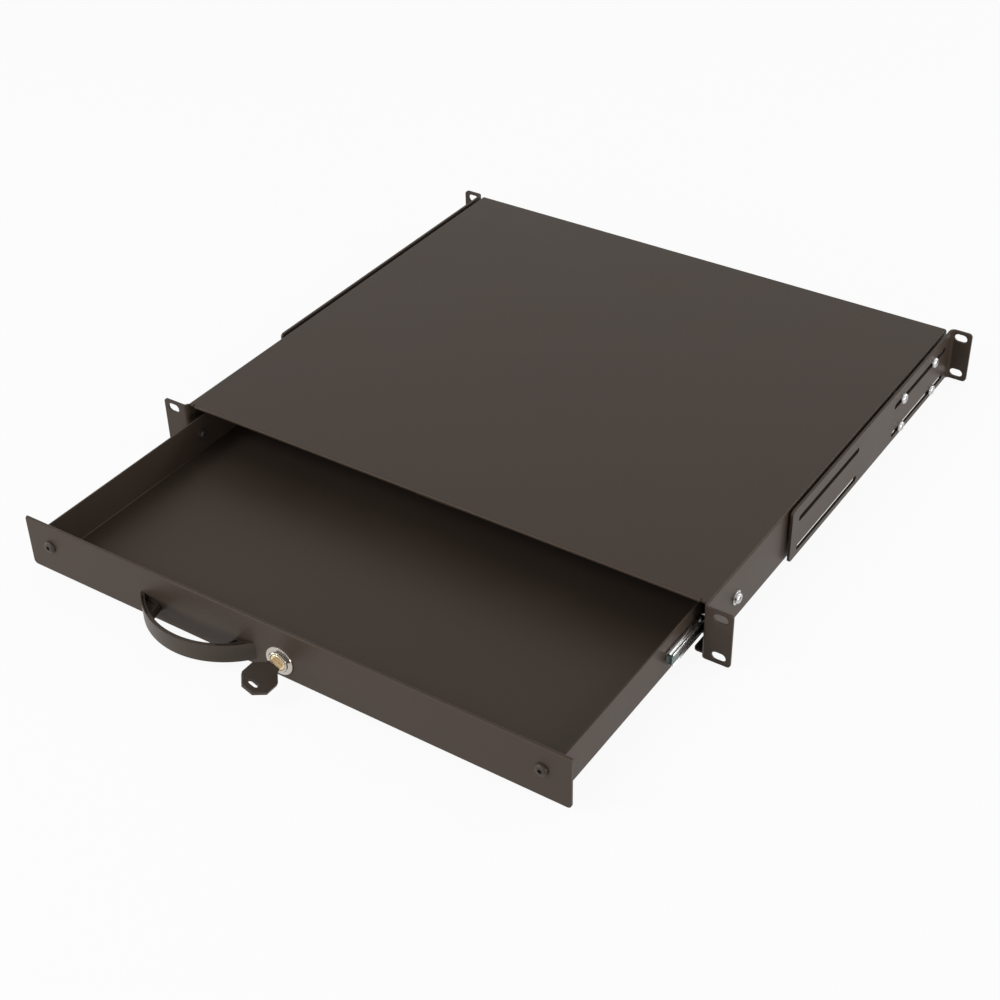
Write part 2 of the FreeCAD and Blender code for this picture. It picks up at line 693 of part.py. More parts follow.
def handle_screws():
    y = TRAY_Y + TRAY_SHEET
    reach = SHEET + TRAY_SHEET + 7.0
    return [aim(pan_screw(M4, 4.0, 2.6, reach), (HANDLE_X + s * HANDLE_SCREW, y, HANDLE_Z),
                (0, 1, 0)) for s in (-1, 1)]


# ---------------------------------------------------------------- cam lock
def spin(points, x, z):
    """Turn an (r, y) outline round the lock axis."""
    wire = Part.makePolygon([V(x + r, y, z) for r, y in points + [points[0]]])
    return Part.Face(wire).revolve(V(x, 0, z), V(0, 1, 0), 360)


def turned(shape, degrees):
    """Turn about the lock axis, anticlockwise seen from the front."""
    out = shape.copy()
    out.rotate(V(LOCK_X, 0, LOCK_Z), V(0, -1, 0), degrees)
    return out


def lock_housing():
    y = PANEL_Y
    bore = PLUG_R + PLUG_GAP
    rim = [(bore, y), (BEZEL_R, y), (BEZEL_R, y - 0.9), (BEZEL_R - 0.3, y - 1.2),
           (BEZEL_FRONT_R + 0.3, y - BEZEL_H + 0.3), (BEZEL_FRONT_R, y - BEZEL_H),
           (bore + 0.4, y - BEZEL_H), (bore, y - BEZEL_H + 0.4)]
    body = spin(rim, LOCK_X, LOCK_Z)
    barrel = spin([(bore, y), (BARREL_R, y), (BARREL_R, y + BARREL_L - 0.6),
                   (BARREL_R - 0.6, y + BARREL_L), (bore, y + BARREL_L)], LOCK_X, LOCK_Z)
    flats = box(LOCK_X - 7.0, LOCK_X + 7.0, y - 1, y + BARREL_L + 1, LOCK_Z - 9, LOCK_Z + 9)
    return fuse(body, barrel.common(flats))


def lock_nut():
    y = TRAY_Y + TRAY_SHEET
    body = hexagon(19.0, "Y", LOCK_X, LOCK_Z, y, y + 3.0)
    hole = rod(BARREL_R + THREAD_GAP, (LOCK_X, y - 1, LOCK_Z), (0, 1, 0), 6)
    return body.cut(hole)


def lock_plug():
    """Turning plug with its keyway and square tail, drawn locked, then turned."""
    y = PANEL_Y - BEZEL_H + 0.2
    body = spin([(0, y), (PLUG_R - 0.3, y), (PLUG_R, y + 0.3), (PLUG_R, CAM_Y), (0, CAM_Y)],
                LOCK_X, LOCK_Z)
    a = TAIL / 2
    tail = box(LOCK_X - a, LOCK_X + a, CAM_Y, CAM_Y + CAM_T + 0.2, LOCK_Z - a, LOCK_Z + a)
    w, t = BLADE_W / 2 + KEY_GAP, BLADE_T / 2 + KEY_GAP
    way = box(LOCK_X - t, LOCK_X + t, y - 1, PANEL_Y - BEZEL_H + BLADE_IN + 0.3,
              LOCK_Z - w, LOCK_Z + w)
    tap = rod(M4 + THREAD_GAP, (LOCK_X, CAM_Y - 1.5, LOCK_Z), (0, 1, 0), 6)
    return turned(fuse(body, tail).cut(way).cut(tap), LOCK_TURN)


def lock_cam():
    r, h = CAM_W / 2, CAM_HUB
    y = CAM_Y
    half = [(h, -h, h - 0.2), (h, h * 0.5), (r, h + 2), (r, CAM_L, 2.0)]
    pts = [(LOCK_X + p[0], LOCK_Z + p[1]) + tuple(p[2:]) for p in half]
    pts += [(LOCK_X - p[0], LOCK_Z + p[1]) + tuple(p[2:]) for p in reversed(half)]
    body = extrude(pts, "Y", y, y + CAM_T)
    a = TAIL / 2 + THREAD_GAP
    hole = box(LOCK_X - a, LOCK_X + a, y - 1, y + CAM_T + 1, LOCK_Z - a, LOCK_Z + a)
    return turned(body.cut(hole), LOCK_TURN)


def cam_screw():
    y = CAM_Y + CAM_T + 0.2
    body = aim(pan_screw(M4, 4.6, 1.8, CAM_T + 1.4), (LOCK_X, y, LOCK_Z), (0, 1, 0))
    return turned(body, LOCK_TURN)


# ---------------------------------------------------------------- key, drawn upright
def key_blade():
    """Flat blade with bitting on both edges; its rear end sits inside the head."""
    front = PANEL_Y - BEZEL_H
    w, t = BLADE_W / 2, BLADE_T / 2
    head = front - 5.2
    pts = [(head - 9, -w), (head - 9, w), (front - 0.4, w)]
    step = (BLADE_IN - 3.5) / len(KEY_CUTS)
    for i, cut in enumerate(KEY_CUTS):
        y = front + 2.0 + step * i
        pts += [(y, w), (y + 0.3 * step, w - cut), (y + 0.6 * step, w - cut),
                (y + 0.9 * step, w)]
    tip = front + BLADE_IN
    pts += [(tip - 0.6, w), (tip, w - 1.6), (tip, -w + 1.6), (tip - 0.6, -w)]
    pts = [(a, LOCK_Z + b) for a, b in pts]
    blade = extrude(pts, "X", LOCK_X - t, LOCK_X + t)
    return turned(blade, LOCK_TURN)


def key_head():
    """Moulded eight-sided head with a slot for a ring."""
    back = PANEL_Y - BEZEL_H - 5.2
    mid = back - KEY_L / 2
    a, b = KEY_L / 2, KEY_W / 2
    c, d = 7.2, 6.4
    flat = [(-a, -b + d), (-a + c, -b), (a - c, -b), (a, -b + d), (a, b - d), (a - c, b),
            (-a + c, b), (-a, b - d)]
    t = KEY_T / 2

    def ring(scale, x):
        pts = [V(x, mid + u * scale, LOCK_Z + v * scale) for u, v in flat]
        return Part.makePolygon(pts + [pts[0]])
    core = Part.Face(ring(1.0, LOCK_X - t + 0.6)).extrude(V(KEY_T - 1.2, 0, 0))
    sides = []
    for s in (-1, 1):
        sides.append(Part.makeLoft([ring(1.0, LOCK_X + s * (t - 0.6)),
                                    ring(0.95, LOCK_X + s * t)], True, True))
    neck = box(LOCK_X - t + 0.2, LOCK_X + t - 0.2, back - 2, back + 2.0, LOCK_Z - 5.0,
               LOCK_Z + 5.0)
    body = fuse(core, neck, *sides)
    ring_slot = extrude([(mid - 8.5, LOCK_Z - 3.8, 1.0), (mid - 4.5, LOCK_Z - 3.8, 1.0),
                         (mid - 4.5, LOCK_Z + 3.8, 1.0), (mid - 8.5, LOCK_Z + 3.8, 1.0)],
                        "X", LOCK_X - 3, LOCK_X + 3)
    w, bt = BLADE_W / 2, BLADE_T / 2
    pocket = box(LOCK_X - bt, LOCK_X + bt, back - 9, back + 3, LOCK_Z - w, LOCK_Z + w)
    return turned(body.cut(ring_slot).cut(pocket), LOCK_TURN)


# ---------------------------------------------------------------- export
def both(name, shapes):
    """Save the right-hand shapes, and their mirror images for the left."""
    shapes = shapes if isinstance(shapes, list) else [shapes]
    save(name + "_right", shapes)
    save(name + "_left", [mirror_x(s) for s in shapes])


def main():
    save("case_shell", case_shell())
    save("case_back", case_back())
    save("case_strap_front", case_strap(62.0))
    save("case_strap_rear", case_strap(330.0))
    save("lock_strike", lock_strike())
    both("outer_rail", outer_rail())
    both("rail_screw", rail_screws())
    both("rail_washer", rail_washers())
    both("rail_wafer_screw", rail_wafer())
    both("rear_bracket", bracket())
    both("bracket_screws", bracket_screws())
    both("bracket_spacers", bracket_spacers())
    both("bracket_nuts", bracket_nuts())
    both("ball_cage", ball_cage())
    both("balls", balls())
    both("runner", runner())
    both("runner_bumper", runner_bumper())
    both("runner_screws", runner_screws())
    save("tray", tray())
    save("front_panel", front_panel())
    save("panel_screws", panel_screws())
    save("panel_nuts", panel_nuts())
    save("handle", handle())
    save("handle_screws", handle_screws())
    save("lock_housing", lock_housing())
    save("lock_nut", lock_nut())
    save("lock_plug", lock_plug())
    save("lock_cam", lock_cam())
    save("cam_screw", cam_screw())
    save("key_blade", key_blade())
    save("key_head", key_head())


main()
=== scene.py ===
import json
import math

import bmesh
import bpy
from bpy.props import FloatProperty, FloatVectorProperty, IntProperty, PointerProperty
from bpy.types import Operator, Panel, PropertyGroup
from mathutils import Matrix, Vector


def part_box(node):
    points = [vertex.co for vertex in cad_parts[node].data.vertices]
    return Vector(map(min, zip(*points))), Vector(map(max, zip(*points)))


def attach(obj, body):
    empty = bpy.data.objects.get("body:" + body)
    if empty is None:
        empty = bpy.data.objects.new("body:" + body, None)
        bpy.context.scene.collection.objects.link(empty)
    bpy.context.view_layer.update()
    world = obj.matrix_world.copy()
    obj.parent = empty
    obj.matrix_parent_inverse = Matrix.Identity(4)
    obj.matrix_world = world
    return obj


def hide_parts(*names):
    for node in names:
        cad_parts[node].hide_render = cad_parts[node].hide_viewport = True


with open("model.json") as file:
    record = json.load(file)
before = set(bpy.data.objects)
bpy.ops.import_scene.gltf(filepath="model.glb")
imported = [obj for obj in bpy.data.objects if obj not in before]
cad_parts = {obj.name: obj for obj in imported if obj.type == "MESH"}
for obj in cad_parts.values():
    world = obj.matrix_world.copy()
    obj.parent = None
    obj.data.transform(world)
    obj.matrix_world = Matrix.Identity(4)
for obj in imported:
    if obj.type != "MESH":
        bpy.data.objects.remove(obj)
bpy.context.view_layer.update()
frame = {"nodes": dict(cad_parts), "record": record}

bl_info = {
    "name": "Rack Drawer",
    "version": (1, 0, 0),
    "blender": (4, 5, 0),
    "location": "3D View > Sidebar > Rack Drawer",
    "description": "Builds a one-unit rack drawer with ball slides, lock and key",
    "category": "Object",
}

# ------------------------------------------------------------ sizes, in metres
MM = 0.001
QUARTER = math.pi / 2
SIDES = (("right", 1.0), ("left", -1.0))
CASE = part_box("case_shell")
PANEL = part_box("front_panel")
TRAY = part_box("tray")
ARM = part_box("rear_bracket_right")
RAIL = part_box("outer_rail_right")
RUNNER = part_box("runner_right")
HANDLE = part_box("handle")
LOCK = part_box("lock_housing")
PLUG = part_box("lock_plug")

# Case
TOP = CASE[1].z
BASE = CASE[0].z
EAR_X = CASE[1].x
REAR = CASE[1].y
CASE_X = 221.0 * MM
CASE_FRONT = 2.5 * MM
WALL_X = 219.5 * MM
LIP = 9.0 * MM
BEND = 2.0 * MM
EAR_BEND = 3.5 * MM
EAR_CORNER = 2.5 * MM
EAR_SLIT = 0.35 * MM
CORNER = 3.0 * MM
LIP_BACK = 4.0 * MM
HEM_DEPTH = 12.0 * MM
HEM_END = 6.0 * MM
HEM_NOTCH = 0.7 * MM
HEM_ROOT = 0.5 * MM
HEM_GAP = 0.03 * MM
HEM_STEPS = 10
# Slots of all four ears, on the rack's pitch
SLOT_X = 465.1 * MM / 2
SLOT_Z = 31.75 * MM / 2
SLOT_L = 10.5 * MM
SLOT_W = 6.8 * MM
# Angle for the lock's cam
STRIKE_BACK = 2.0 * MM
STRIKE_FOOT = 1.4 * MM
# Panel and tray
PANEL_HEM = 6.0 * MM
TRAY_T = 1.2 * MM
TRAY_BEND = 1.8 * MM
TRAY_SEAM = 0.15 * MM
# Rear brackets
ARM_T = 2.0 * MM
ARM_FIT = 0.97
ARM_BEND = 4.5 * MM
ARM_SLOT_Y = (178.5 * MM, 342.5 * MM)
ARM_SLOT_L = 100.0 * MM
ARM_SLOT_W = 4.6 * MM
ARM_SLOT_Z = (-15.2 * MM, 10.0 * MM)
# Ball slides: the balls' place is measured in from the case wall and up from the slide's middle
SLIDE_Z = -2.0 * MM
STRIP = 1.0 * MM
STRIP_FIT = 0.98
STRIP_MID = 0.001 * MM
BALL_R = 1.5 * MM
RACE_R = 1.6 * MM
BALL_IN = 4.2 * MM
BALL_UP = 5.9 * MM
# Handle: a bow on a circle, with grooves between two distances from its middle
HANDLE_R = 63.3 * MM
HANDLE_T = 2.8 * MM
HANDLE_HALF = 49.5 * MM
FOOT_REACH = 16.0 * MM
FOOT_IN = 3.6 * MM
GROOVE = (29.0 * MM, 46.0 * MM)
# Lock and key
LOCK_X = (LOCK[0].x + LOCK[1].x) / 2
LOCK_Z = (LOCK[0].z + LOCK[1].z) / 2
LOCK_TURN = math.radians(68.0)
BORE_R = 5.78 * MM
THREAD_R = 8.0 * MM
THREAD_ROOT = 7.6 * MM
THREAD_END = -6.0 * MM
PLUG_R = 5.7 * MM
PLUG_FRONT = 2.75 * MM
PLUG_L = 19.5 * MM
KEYWAY = (1.12 * MM, 3.92 * MM)
KEYWAY_L = 15.0 * MM
KEY_T = 3.0 * MM
# Screws, by the radius of their thread
M4_R = 2.0 * MM
M5_R = 2.5 * MM
# How far a cut may miss a point, how close two points are one, and the width of a sliver
NEAR = 1e-7
MEET = 1e-6
SLIVER = 0.06 * MM
# Angles between faces at which an edge is rounded, is shaded sharp, or is merged away
ROUND_ANGLE = math.radians(48.0)
SHARP_ANGLE = math.radians(38.0)
FLAT_ANGLE = math.radians(0.4)
# Turns a block drawn up the Z axis: outline in Y and Z drawn along X, or in X and Z along Y
ALONG_X = Matrix(((0, 0, 1, 0), (1, 0, 0, 0), (0, 1, 0, 0), (0, 0, 0, 1)))
ALONG_Y = Matrix(((1, 0, 0, 0), (0, 0, 1, 0), (0, 1, 0, 0), (0, 0, 0, 1)))

# ------------------------------------------------------------ floor, lamps and camera
FLOOR_DROP = 0.2 * MM
FLOOR_HALF = 6.0
FLOOR_GREY = 0.80
FLOOR_WHITE = 0.92
# Box under the case where the floor's glow is left out, as painted shade
SHADE_X = 0.214
SHADE_Y = (0.25, 0.15)
ROOM_LIGHT = 0.38
CAMERA_TURN = (34.22, 36.41, -1.34)
CAMERA_AIM = (0.0130, 0.0735, -0.0218)
CAMERA_AWAY = 1.311
LENS = 64.2
# name, place, aimed at, width and height, watts, colour
LAMPS = (
    ("right_softbox", (1.9, 0.0, 0.18), (0.1, 0.1, 0.0), (1.6, 0.4), 18.0, (1.0, 0.93, 0.88)),
    ("front_softbox", (-0.4, -1.9, 0.30), (0.0, 0.0, 0.0), (1.6, 0.6), 15.5, (1.0, 1.0, 1.0)),
    ("left_softbox", (-1.75, -0.95, 0.28), (-0.1, -0.15, 0.0), (0.7, 0.5), 9.0, (1.0, 1.0, 1.0)),
    ("top_softbox", (0.0, 0.4, 2.0), (0.0, 0.1, 0.0), (1.6, 1.6), 4.0, (1.0, 1.0, 1.0)),
    ("edge_softbox", (-0.95, -1.25, 1.35), (0.0, 0.0, 0.0), (0.6, 0.6), 12.0, (1.0, 1.0, 1.0)),
    ("rim_softbox", (1.25, 1.45, 0.95), (0.1, 0.2, 0.0), (0.7, 0.5), 8.0, (1.0, 1.0, 1.0)),
)


# ------------------------------------------------------------ settings
class SheetSizes(PropertyGroup):
    """Sizes of the folded sheet parts."""
    case_wall: FloatProperty(name="Case sheet", description="Thickness of case and panel sheet",
                             default=1.5 * MM, min=0.5 * MM, unit="LENGTH")
    tray_wall: FloatProperty(name="Tray sheet", description="Thickness of the tray sheet",
                             default=TRAY_T, min=0.5 * MM, unit="LENGTH")
    edge: FloatProperty(name="Edge rounding", description="Rounding of cut sheet edges",
                        default=0.28 * MM, min=0.0, unit="LENGTH")
    bend_steps: IntProperty(name="Bend steps", description="Facets round a right-angle bend",
                            default=6, min=2, max=16)


class Finishes(PropertyGroup):
    """Colours of the finishes."""
    coat: FloatVectorProperty(name="Powder coat", description="Colour of the coated sheet",
                              subtype="COLOR", size=3, default=(0.042, 0.0305, 0.0235))
    plastic: FloatVectorProperty(name="Black plastic", description="Handle and key head",
                                 subtype="COLOR", size=3, default=(0.037, 0.028, 0.022))
    zinc: FloatVectorProperty(name="Zinc", description="Slides and screws",
                              subtype="COLOR", size=3, default=(0.56, 0.56, 0.56))
    nickel: FloatVectorProperty(name="Nickel", description="Lock housing and key blade",
                                subtype="COLOR", size=3, default=(0.52, 0.48, 0.43))
    brass: FloatVectorProperty(name="Brass", description="Lock plug",
                               subtype="COLOR", size=3, default=(0.80, 0.63, 0.38))
    bumper: FloatVectorProperty(name="Bumper plastic", description="End stops of the slides",
                                subtype="COLOR", size=3, default=(0.075, 0.115, 0.105))


class DrawerSettings(PropertyGroup):
    """Everything that can be changed before building."""
    sheet: PointerProperty(type=SheetSizes)
    finish: PointerProperty(type=Finishes)


# ------------------------------------------------------------ node groups
def new_group(name, inputs, outputs):
    """Empty shader group with its inputs and number outputs, and its two end nodes."""
    group = bpy.data.node_groups.new(name, "ShaderNodeTree")
    for label, kind, value in inputs:
        socket = group.interface.new_socket(name=label, in_out="INPUT", socket_type=kind)
        if value is not None:
            socket.default_value = value
    for label in outputs:
        group.interface.new_socket(name=label, in_out="OUTPUT", socket_type="NodeSocketFloat")
    return group, group.nodes.new("NodeGroupInput"), group.nodes.new("NodeGroupOutput")


def noise_node(tree, vector, scale, detail, rough=0.55):
    """Noise with its vector linked; scale may be a number or a socket."""
    node = tree.nodes.new("ShaderNodeTexNoise")
    node.inputs["Detail"].default_value = detail
    node.inputs["Roughness"].default_value = rough
    tree.links.new(vector, node.inputs["Vector"])
    if isinstance(scale, (int, float)):
        node.inputs["Scale"].default_value = scale
    else:
        tree.links.new(scale, node.inputs["Scale"])
    return node


def math_node(tree, kind, a, b):
    """Result of one calculation on numbers or sockets."""
    node = tree.nodes.new("ShaderNodeMath")
    node.operation = kind
    for socket, value in zip(node.inputs, (a, b)):
        if isinstance(value, (int, float)):
            socket.default_value = value
        else:
            tree.links.new(value, socket)
    return node.outputs[0]


def grain_group():
    """Fine lumps of a cured coat or a moulded skin, with slow cloudy variation."""
    if "fine_grain" in bpy.data.node_groups:
        return bpy.data.node_groups["fine_grain"]
    group, start, end = new_group(
        "fine_grain",
        [("Vector", "NodeSocketVector", None), ("Grains per metre", "NodeSocketFloat", 2200.0),
         ("Clouds per metre", "NodeSocketFloat", 14.0)],
        ["Height", "Tone"])
    fine = noise_node(group, start.outputs["Vector"], start.outputs["Grains per metre"], 3.0)
    slow = noise_node(group, start.outputs["Vector"], start.outputs["Clouds per metre"], 4.0)
    clouds = math_node(group, "MULTIPLY", slow.outputs["Fac"], 0.65)
    lumps = math_node(group, "MULTIPLY", fine.outputs["Fac"], 0.35)
    group.links.new(fine.outputs["Fac"], end.inputs["Height"])
    group.links.new(math_node(group, "ADD", clouds, lumps), end.inputs["Tone"])
    return group


def brushed_group():
    """Long fine lines of rolled or turned metal; the stretch makes them run one way."""
    if "drawn_lines" in bpy.data.node_groups:
        return bpy.data.node_groups["drawn_lines"]
    group, start, end = new_group(
        "drawn_lines",
        [("Vector", "NodeSocketVector", None), ("Stretch", "NodeSocketVector", (1.0, 1.0, 1.0)),
         ("Lines per metre", "NodeSocketFloat", 3000.0)],
        ["Height", "Tone"])
    scaled = group.nodes.new("ShaderNodeVectorMath")
    scaled.operation = "MULTIPLY"
    group.links.new(start.outputs["Vector"], scaled.inputs[0])
    group.links.new(start.outputs["Stretch"], scaled.inputs[1])
    lines = noise_node(group, scaled.outputs[0], start.outputs["Lines per metre"], 2.0)
    slow = noise_node(group, start.outputs["Vector"], 60.0, 3.0)
    tone = math_node(group, "MULTIPLY", lines.outputs["Fac"], slow.outputs["Fac"])
    group.links.new(lines.outputs["Fac"], end.inputs["Height"])
    group.links.new(math_node(group, "MULTIPLY", tone, 2.0), end.inputs["Tone"])
    return group


# ------------------------------------------------------------ materials
# The dark coat and plastics have slightly warm highlights
WARM = (1.0, 0.88, 0.78)


def start_material(name):
    """New material, its node tree, its shader and its object coordinates."""
    material = bpy.data.materials.new(name)
    material.use_nodes = True
    tree = material.node_tree
    shader = tree.nodes["Principled BSDF"]
    coords = tree.nodes.new("ShaderNodeTexCoord")
    return material, tree, shader, coords.outputs["Object"]


def tint(tree, shader, tone, colour, spread):
    """Base colour that swings a little darker and lighter with the tone."""
    ramp = tree.nodes.new("ShaderNodeValToRGB")
    ramp.color_ramp.elements[0].position = 0.3
    ramp.color_ramp.elements[1].position = 0.7
    ramp.color_ramp.elements[0].color = [c * (1 - spread) for c in colour] + [1.0]
    ramp.color_ramp.elements[1].color = [min(1.0, c * (1 + spread)) for c in colour] + [1.0]
    tree.links.new(tone, ramp.inputs["Fac"])
    tree.links.new(ramp.outputs["Color"], shader.inputs["Base Color"])


def roughen(tree, shader, tone, low, high):
    """Roughness that follows the tone from low to high."""
    span = tree.nodes.new("ShaderNodeMapRange")
    span.inputs["From Min"].default_value = 0.3
    span.inputs["From Max"].default_value = 0.7
    span.inputs["To Min"].default_value = low
    span.inputs["To Max"].default_value = high
    tree.links.new(tone, span.inputs["Value"])
    tree.links.new(span.outputs["Result"], shader.inputs["Roughness"])


def bump(tree, shader, height, strength, depth):
    """Raises the surface by a height, on top of any bump that is there already."""
    node = tree.nodes.new("ShaderNodeBump")
    node.inputs["Strength"].default_value = strength
    node.inputs["Distance"].default_value = depth
    tree.links.new(height, node.inputs["Height"])
    for link in shader.inputs["Normal"].links:
        tree.links.new(link.from_socket, node.inputs["Normal"])
    tree.links.new(node.outputs["Normal"], shader.inputs["Normal"])


def grained(name, colour, spread, rough, grains, strength, depth, gloss=0.5,
            sheen=(1.0, 1.0, 1.0)):
    """Coated or moulded surface: cloudy tone, fine lumps."""
    if name in bpy.data.materials:
        return bpy.data.materials[name]
    material, tree, shader, coords = start_material(name)
    shader.inputs["Specular IOR Level"].default_value = gloss
    shader.inputs["Specular Tint"].default_value = (*sheen, 1.0)
    grain = tree.nodes.new("ShaderNodeGroup")
    grain.node_tree = grain_group()
    grain.inputs["Grains per metre"].default_value = grains
    tree.links.new(coords, grain.inputs["Vector"])
    tint(tree, shader, grain.outputs["Tone"], colour, spread)
    roughen(tree, shader, grain.outputs["Tone"], rough[0], rough[1])
    bump(tree, shader, grain.outputs["Height"], strength, depth)
    return material


def metal(name, colour, spread, rough, lines, strength, depth, stretch=(1.0, 1.0, 1.0)):
    """Bare or plated metal with drawn lines along the long side of the stretch."""
    if name in bpy.data.materials:
        return bpy.data.materials[name]
    material, tree, shader, coords = start_material(name)
    shader.inputs["Metallic"].default_value = 1.0
    drawn = tree.nodes.new("ShaderNodeGroup")
    drawn.node_tree = brushed_group()
    drawn.inputs["Stretch"].default_value = stretch
    drawn.inputs["Lines per metre"].default_value = lines
    tree.links.new(coords, drawn.inputs["Vector"])
    tint(tree, shader, drawn.outputs["Tone"], colour, spread)
    roughen(tree, shader, drawn.outputs["Tone"], rough[0], rough[1])
    bump(tree, shader, drawn.outputs["Height"], strength, depth)
    return material


def powder_coat():
    return grained("surface_black_powder_coat", finish().coat, spread=0.08, rough=(0.36, 0.48),
                   grains=1500.0, strength=0.35, depth=0.00003, gloss=0.2, sheen=WARM)


def black_plastic():
    return grained("surface_black_plastic", finish().plastic, spread=0.14, rough=(0.34, 0.46),
                   grains=2600.0, strength=0.25, depth=0.00004, gloss=0.3, sheen=WARM)


def key_plastic():
    """Moulded plastic with fine ribs across the head."""
    name = "surface_key_plastic"
    if name in bpy.data.materials:
        return bpy.data.materials[name]
    material = grained(name, finish().plastic, spread=0.18, rough=(0.42, 0.58), grains=1700.0,
                       strength=0.6, depth=0.00015, gloss=0.25, sheen=WARM)
    tree = material.node_tree
    ribs = tree.nodes.new("ShaderNodeTexWave")
    ribs.wave_type = "BANDS"
    ribs.bands_direction = "Y"
    ribs.inputs["Scale"].default_value = 560.0
    coords = tree.nodes.new("ShaderNodeTexCoord")
    tree.links.new(coords.outputs["Object"], ribs.inputs["Vector"])
    bump(tree, tree.nodes["Principled BSDF"], ribs.outputs["Fac"], 0.4, 0.00012)
    return material


def black_oxide():
    return grained("surface_black_oxide", (0.034, 0.027, 0.023), spread=0.2, rough=(0.28, 0.42),
                   grains=3000.0, strength=0.2, depth=0.00003, gloss=0.25, sheen=WARM)


def bumper_plastic():
    return grained("surface_bumper_plastic", finish().bumper, spread=0.08, rough=(0.26, 0.38),
                   grains=2000.0, strength=0.1, depth=0.00003)


def zinc_strip():
    """Bright rolled strip, its lines along the slide."""
    return metal("surface_zinc_strip", [1.25 * c for c in finish().zinc], spread=0.07,
                 rough=(0.16, 0.28), lines=2500.0, strength=0.08, depth=0.00002,
                 stretch=(1.0, 0.02, 1.0))


def zinc_part():
    return metal("surface_zinc_part", finish().zinc, spread=0.08, rough=(0.20, 0.34),
                 lines=1800.0, strength=0.15, depth=0.00002)


def ball_steel():
    return metal("surface_ball_steel", (0.80, 0.80, 0.82), spread=0.03, rough=(0.05, 0.10),
                 lines=900.0, strength=0.05, depth=0.00001)


def nickel_plate():
    return metal("surface_nickel_plate", finish().nickel, spread=0.05, rough=(0.10, 0.22),
                 lines=1500.0, strength=0.12, depth=0.00002, stretch=(1.0, 0.3, 1.0))


def turned_brass():
    return metal("surface_turned_brass", finish().brass, spread=0.10, rough=(0.18, 0.32),
                 lines=1800.0, strength=0.18, depth=0.00003, stretch=(1.0, 0.2, 1.0))


def finish():
    return bpy.context.scene.rack_drawer.finish


def sheet():
    return bpy.context.scene.rack_drawer.sheet


# ------------------------------------------------------------ mesh helpers
def make_piece(name, bm, material, body, replaces=(), wall=0.0, edge=0.0):
    """Turns a bmesh into a finished piece that rides on its body."""
    mesh = bpy.data.meshes.new(name)
    bm.to_mesh(mesh)
    bm.free()
    mesh.polygons.foreach_set("use_smooth", [True] * len(mesh.polygons))
    obj = bpy.data.objects.new(name, mesh)
    bpy.context.scene.collection.objects.link(obj)
    mesh.materials.append(material)
    if wall:
        solid = obj.modifiers.new("wall", "SOLIDIFY")
        solid.thickness = wall
        solid.offset = 0.0
    if edge:
        round_off = obj.modifiers.new("edge", "BEVEL")
        round_off.width = edge
        round_off.segments = 2
        round_off.limit_method = "ANGLE"
        round_off.angle_limit = ROUND_ANGLE
        round_off.use_clamp_overlap = True
        shade = obj.modifiers.new("shade", "WEIGHTED_NORMAL")
        shade.keep_sharp = True
    else:
        mesh.set_sharp_from_angle(angle=SHARP_ANGLE)
    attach(obj, body)
    if replaces:
        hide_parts(*replaces)
    return obj


def new_verts(made):
    """Corners among what an operator made."""
    return [part for part in made["geom"] if isinstance(part, bmesh.types.BMVert)]


def new_edges(made):
    """Edges among what an operator made."""
    return [part for part in made["geom"] if isinstance(part, bmesh.types.BMEdge)]


def ring(bm, loop, z=0.0):
    """Closed wire along an outline at a height."""
    verts = [bm.verts.new((p[0], p[1], z)) for p in loop]
    return [bm.edges.new((verts[i - 1], verts[i])) for i in range(len(verts))]


def chain(bm, points):
    """Open wire through the points; gives its corners and edges."""
    verts = [bm.verts.new(p) for p in points]
    return verts, [bm.edges.new(pair) for pair in zip(verts, verts[1:])]


def fill(bm, edges):
    """Flat face between outlines, as triangles that face up."""
    bmesh.ops.triangle_fill(bm, use_beauty=True, use_dissolve=False, edges=edges,
                            normal=(0.0, 0.0, 1.0))


def sink(bm, faces, rim, depth, up):
    """Sinks faces that look up or down, and leaves a rim round them."""
    bmesh.ops.inset_region(bm, faces=faces, thickness=rim, use_even_offset=True)
    verts = new_verts(bmesh.ops.extrude_face_region(bm, geom=faces))
    bmesh.ops.delete(bm, geom=faces, context="FACES")
    bmesh.ops.translate(bm, vec=(0.0, 0.0, -up * depth), verts=verts)


def join(target, part, matrix=Matrix()):
    """Adds one bmesh to another, moved by the matrix."""
    bmesh.ops.transform(part, matrix=matrix, verts=part.verts)
    held = bpy.data.meshes.new("held")
    part.to_mesh(held)
    part.free()
    target.from_mesh(held)
    bpy.data.meshes.remove(held)


def on_side(bm, side):
    """The shape as drawn for the right, or its mirror image, still facing outwards."""
    if side == "left":
        bmesh.ops.scale(bm, vec=(-1.0, 1.0, 1.0), verts=bm.verts)
        bmesh.ops.reverse_faces(bm, faces=bm.faces)
    return bm


def stand(point, direction):
    """Matrix that stands a shape drawn up the Z axis at a point, facing a direction."""
    turn = Vector((0.0, 0.0, 1.0)).rotation_difference(Vector(direction))
    return Matrix.Translation(Vector(point)) @ turn.to_matrix().to_4x4()


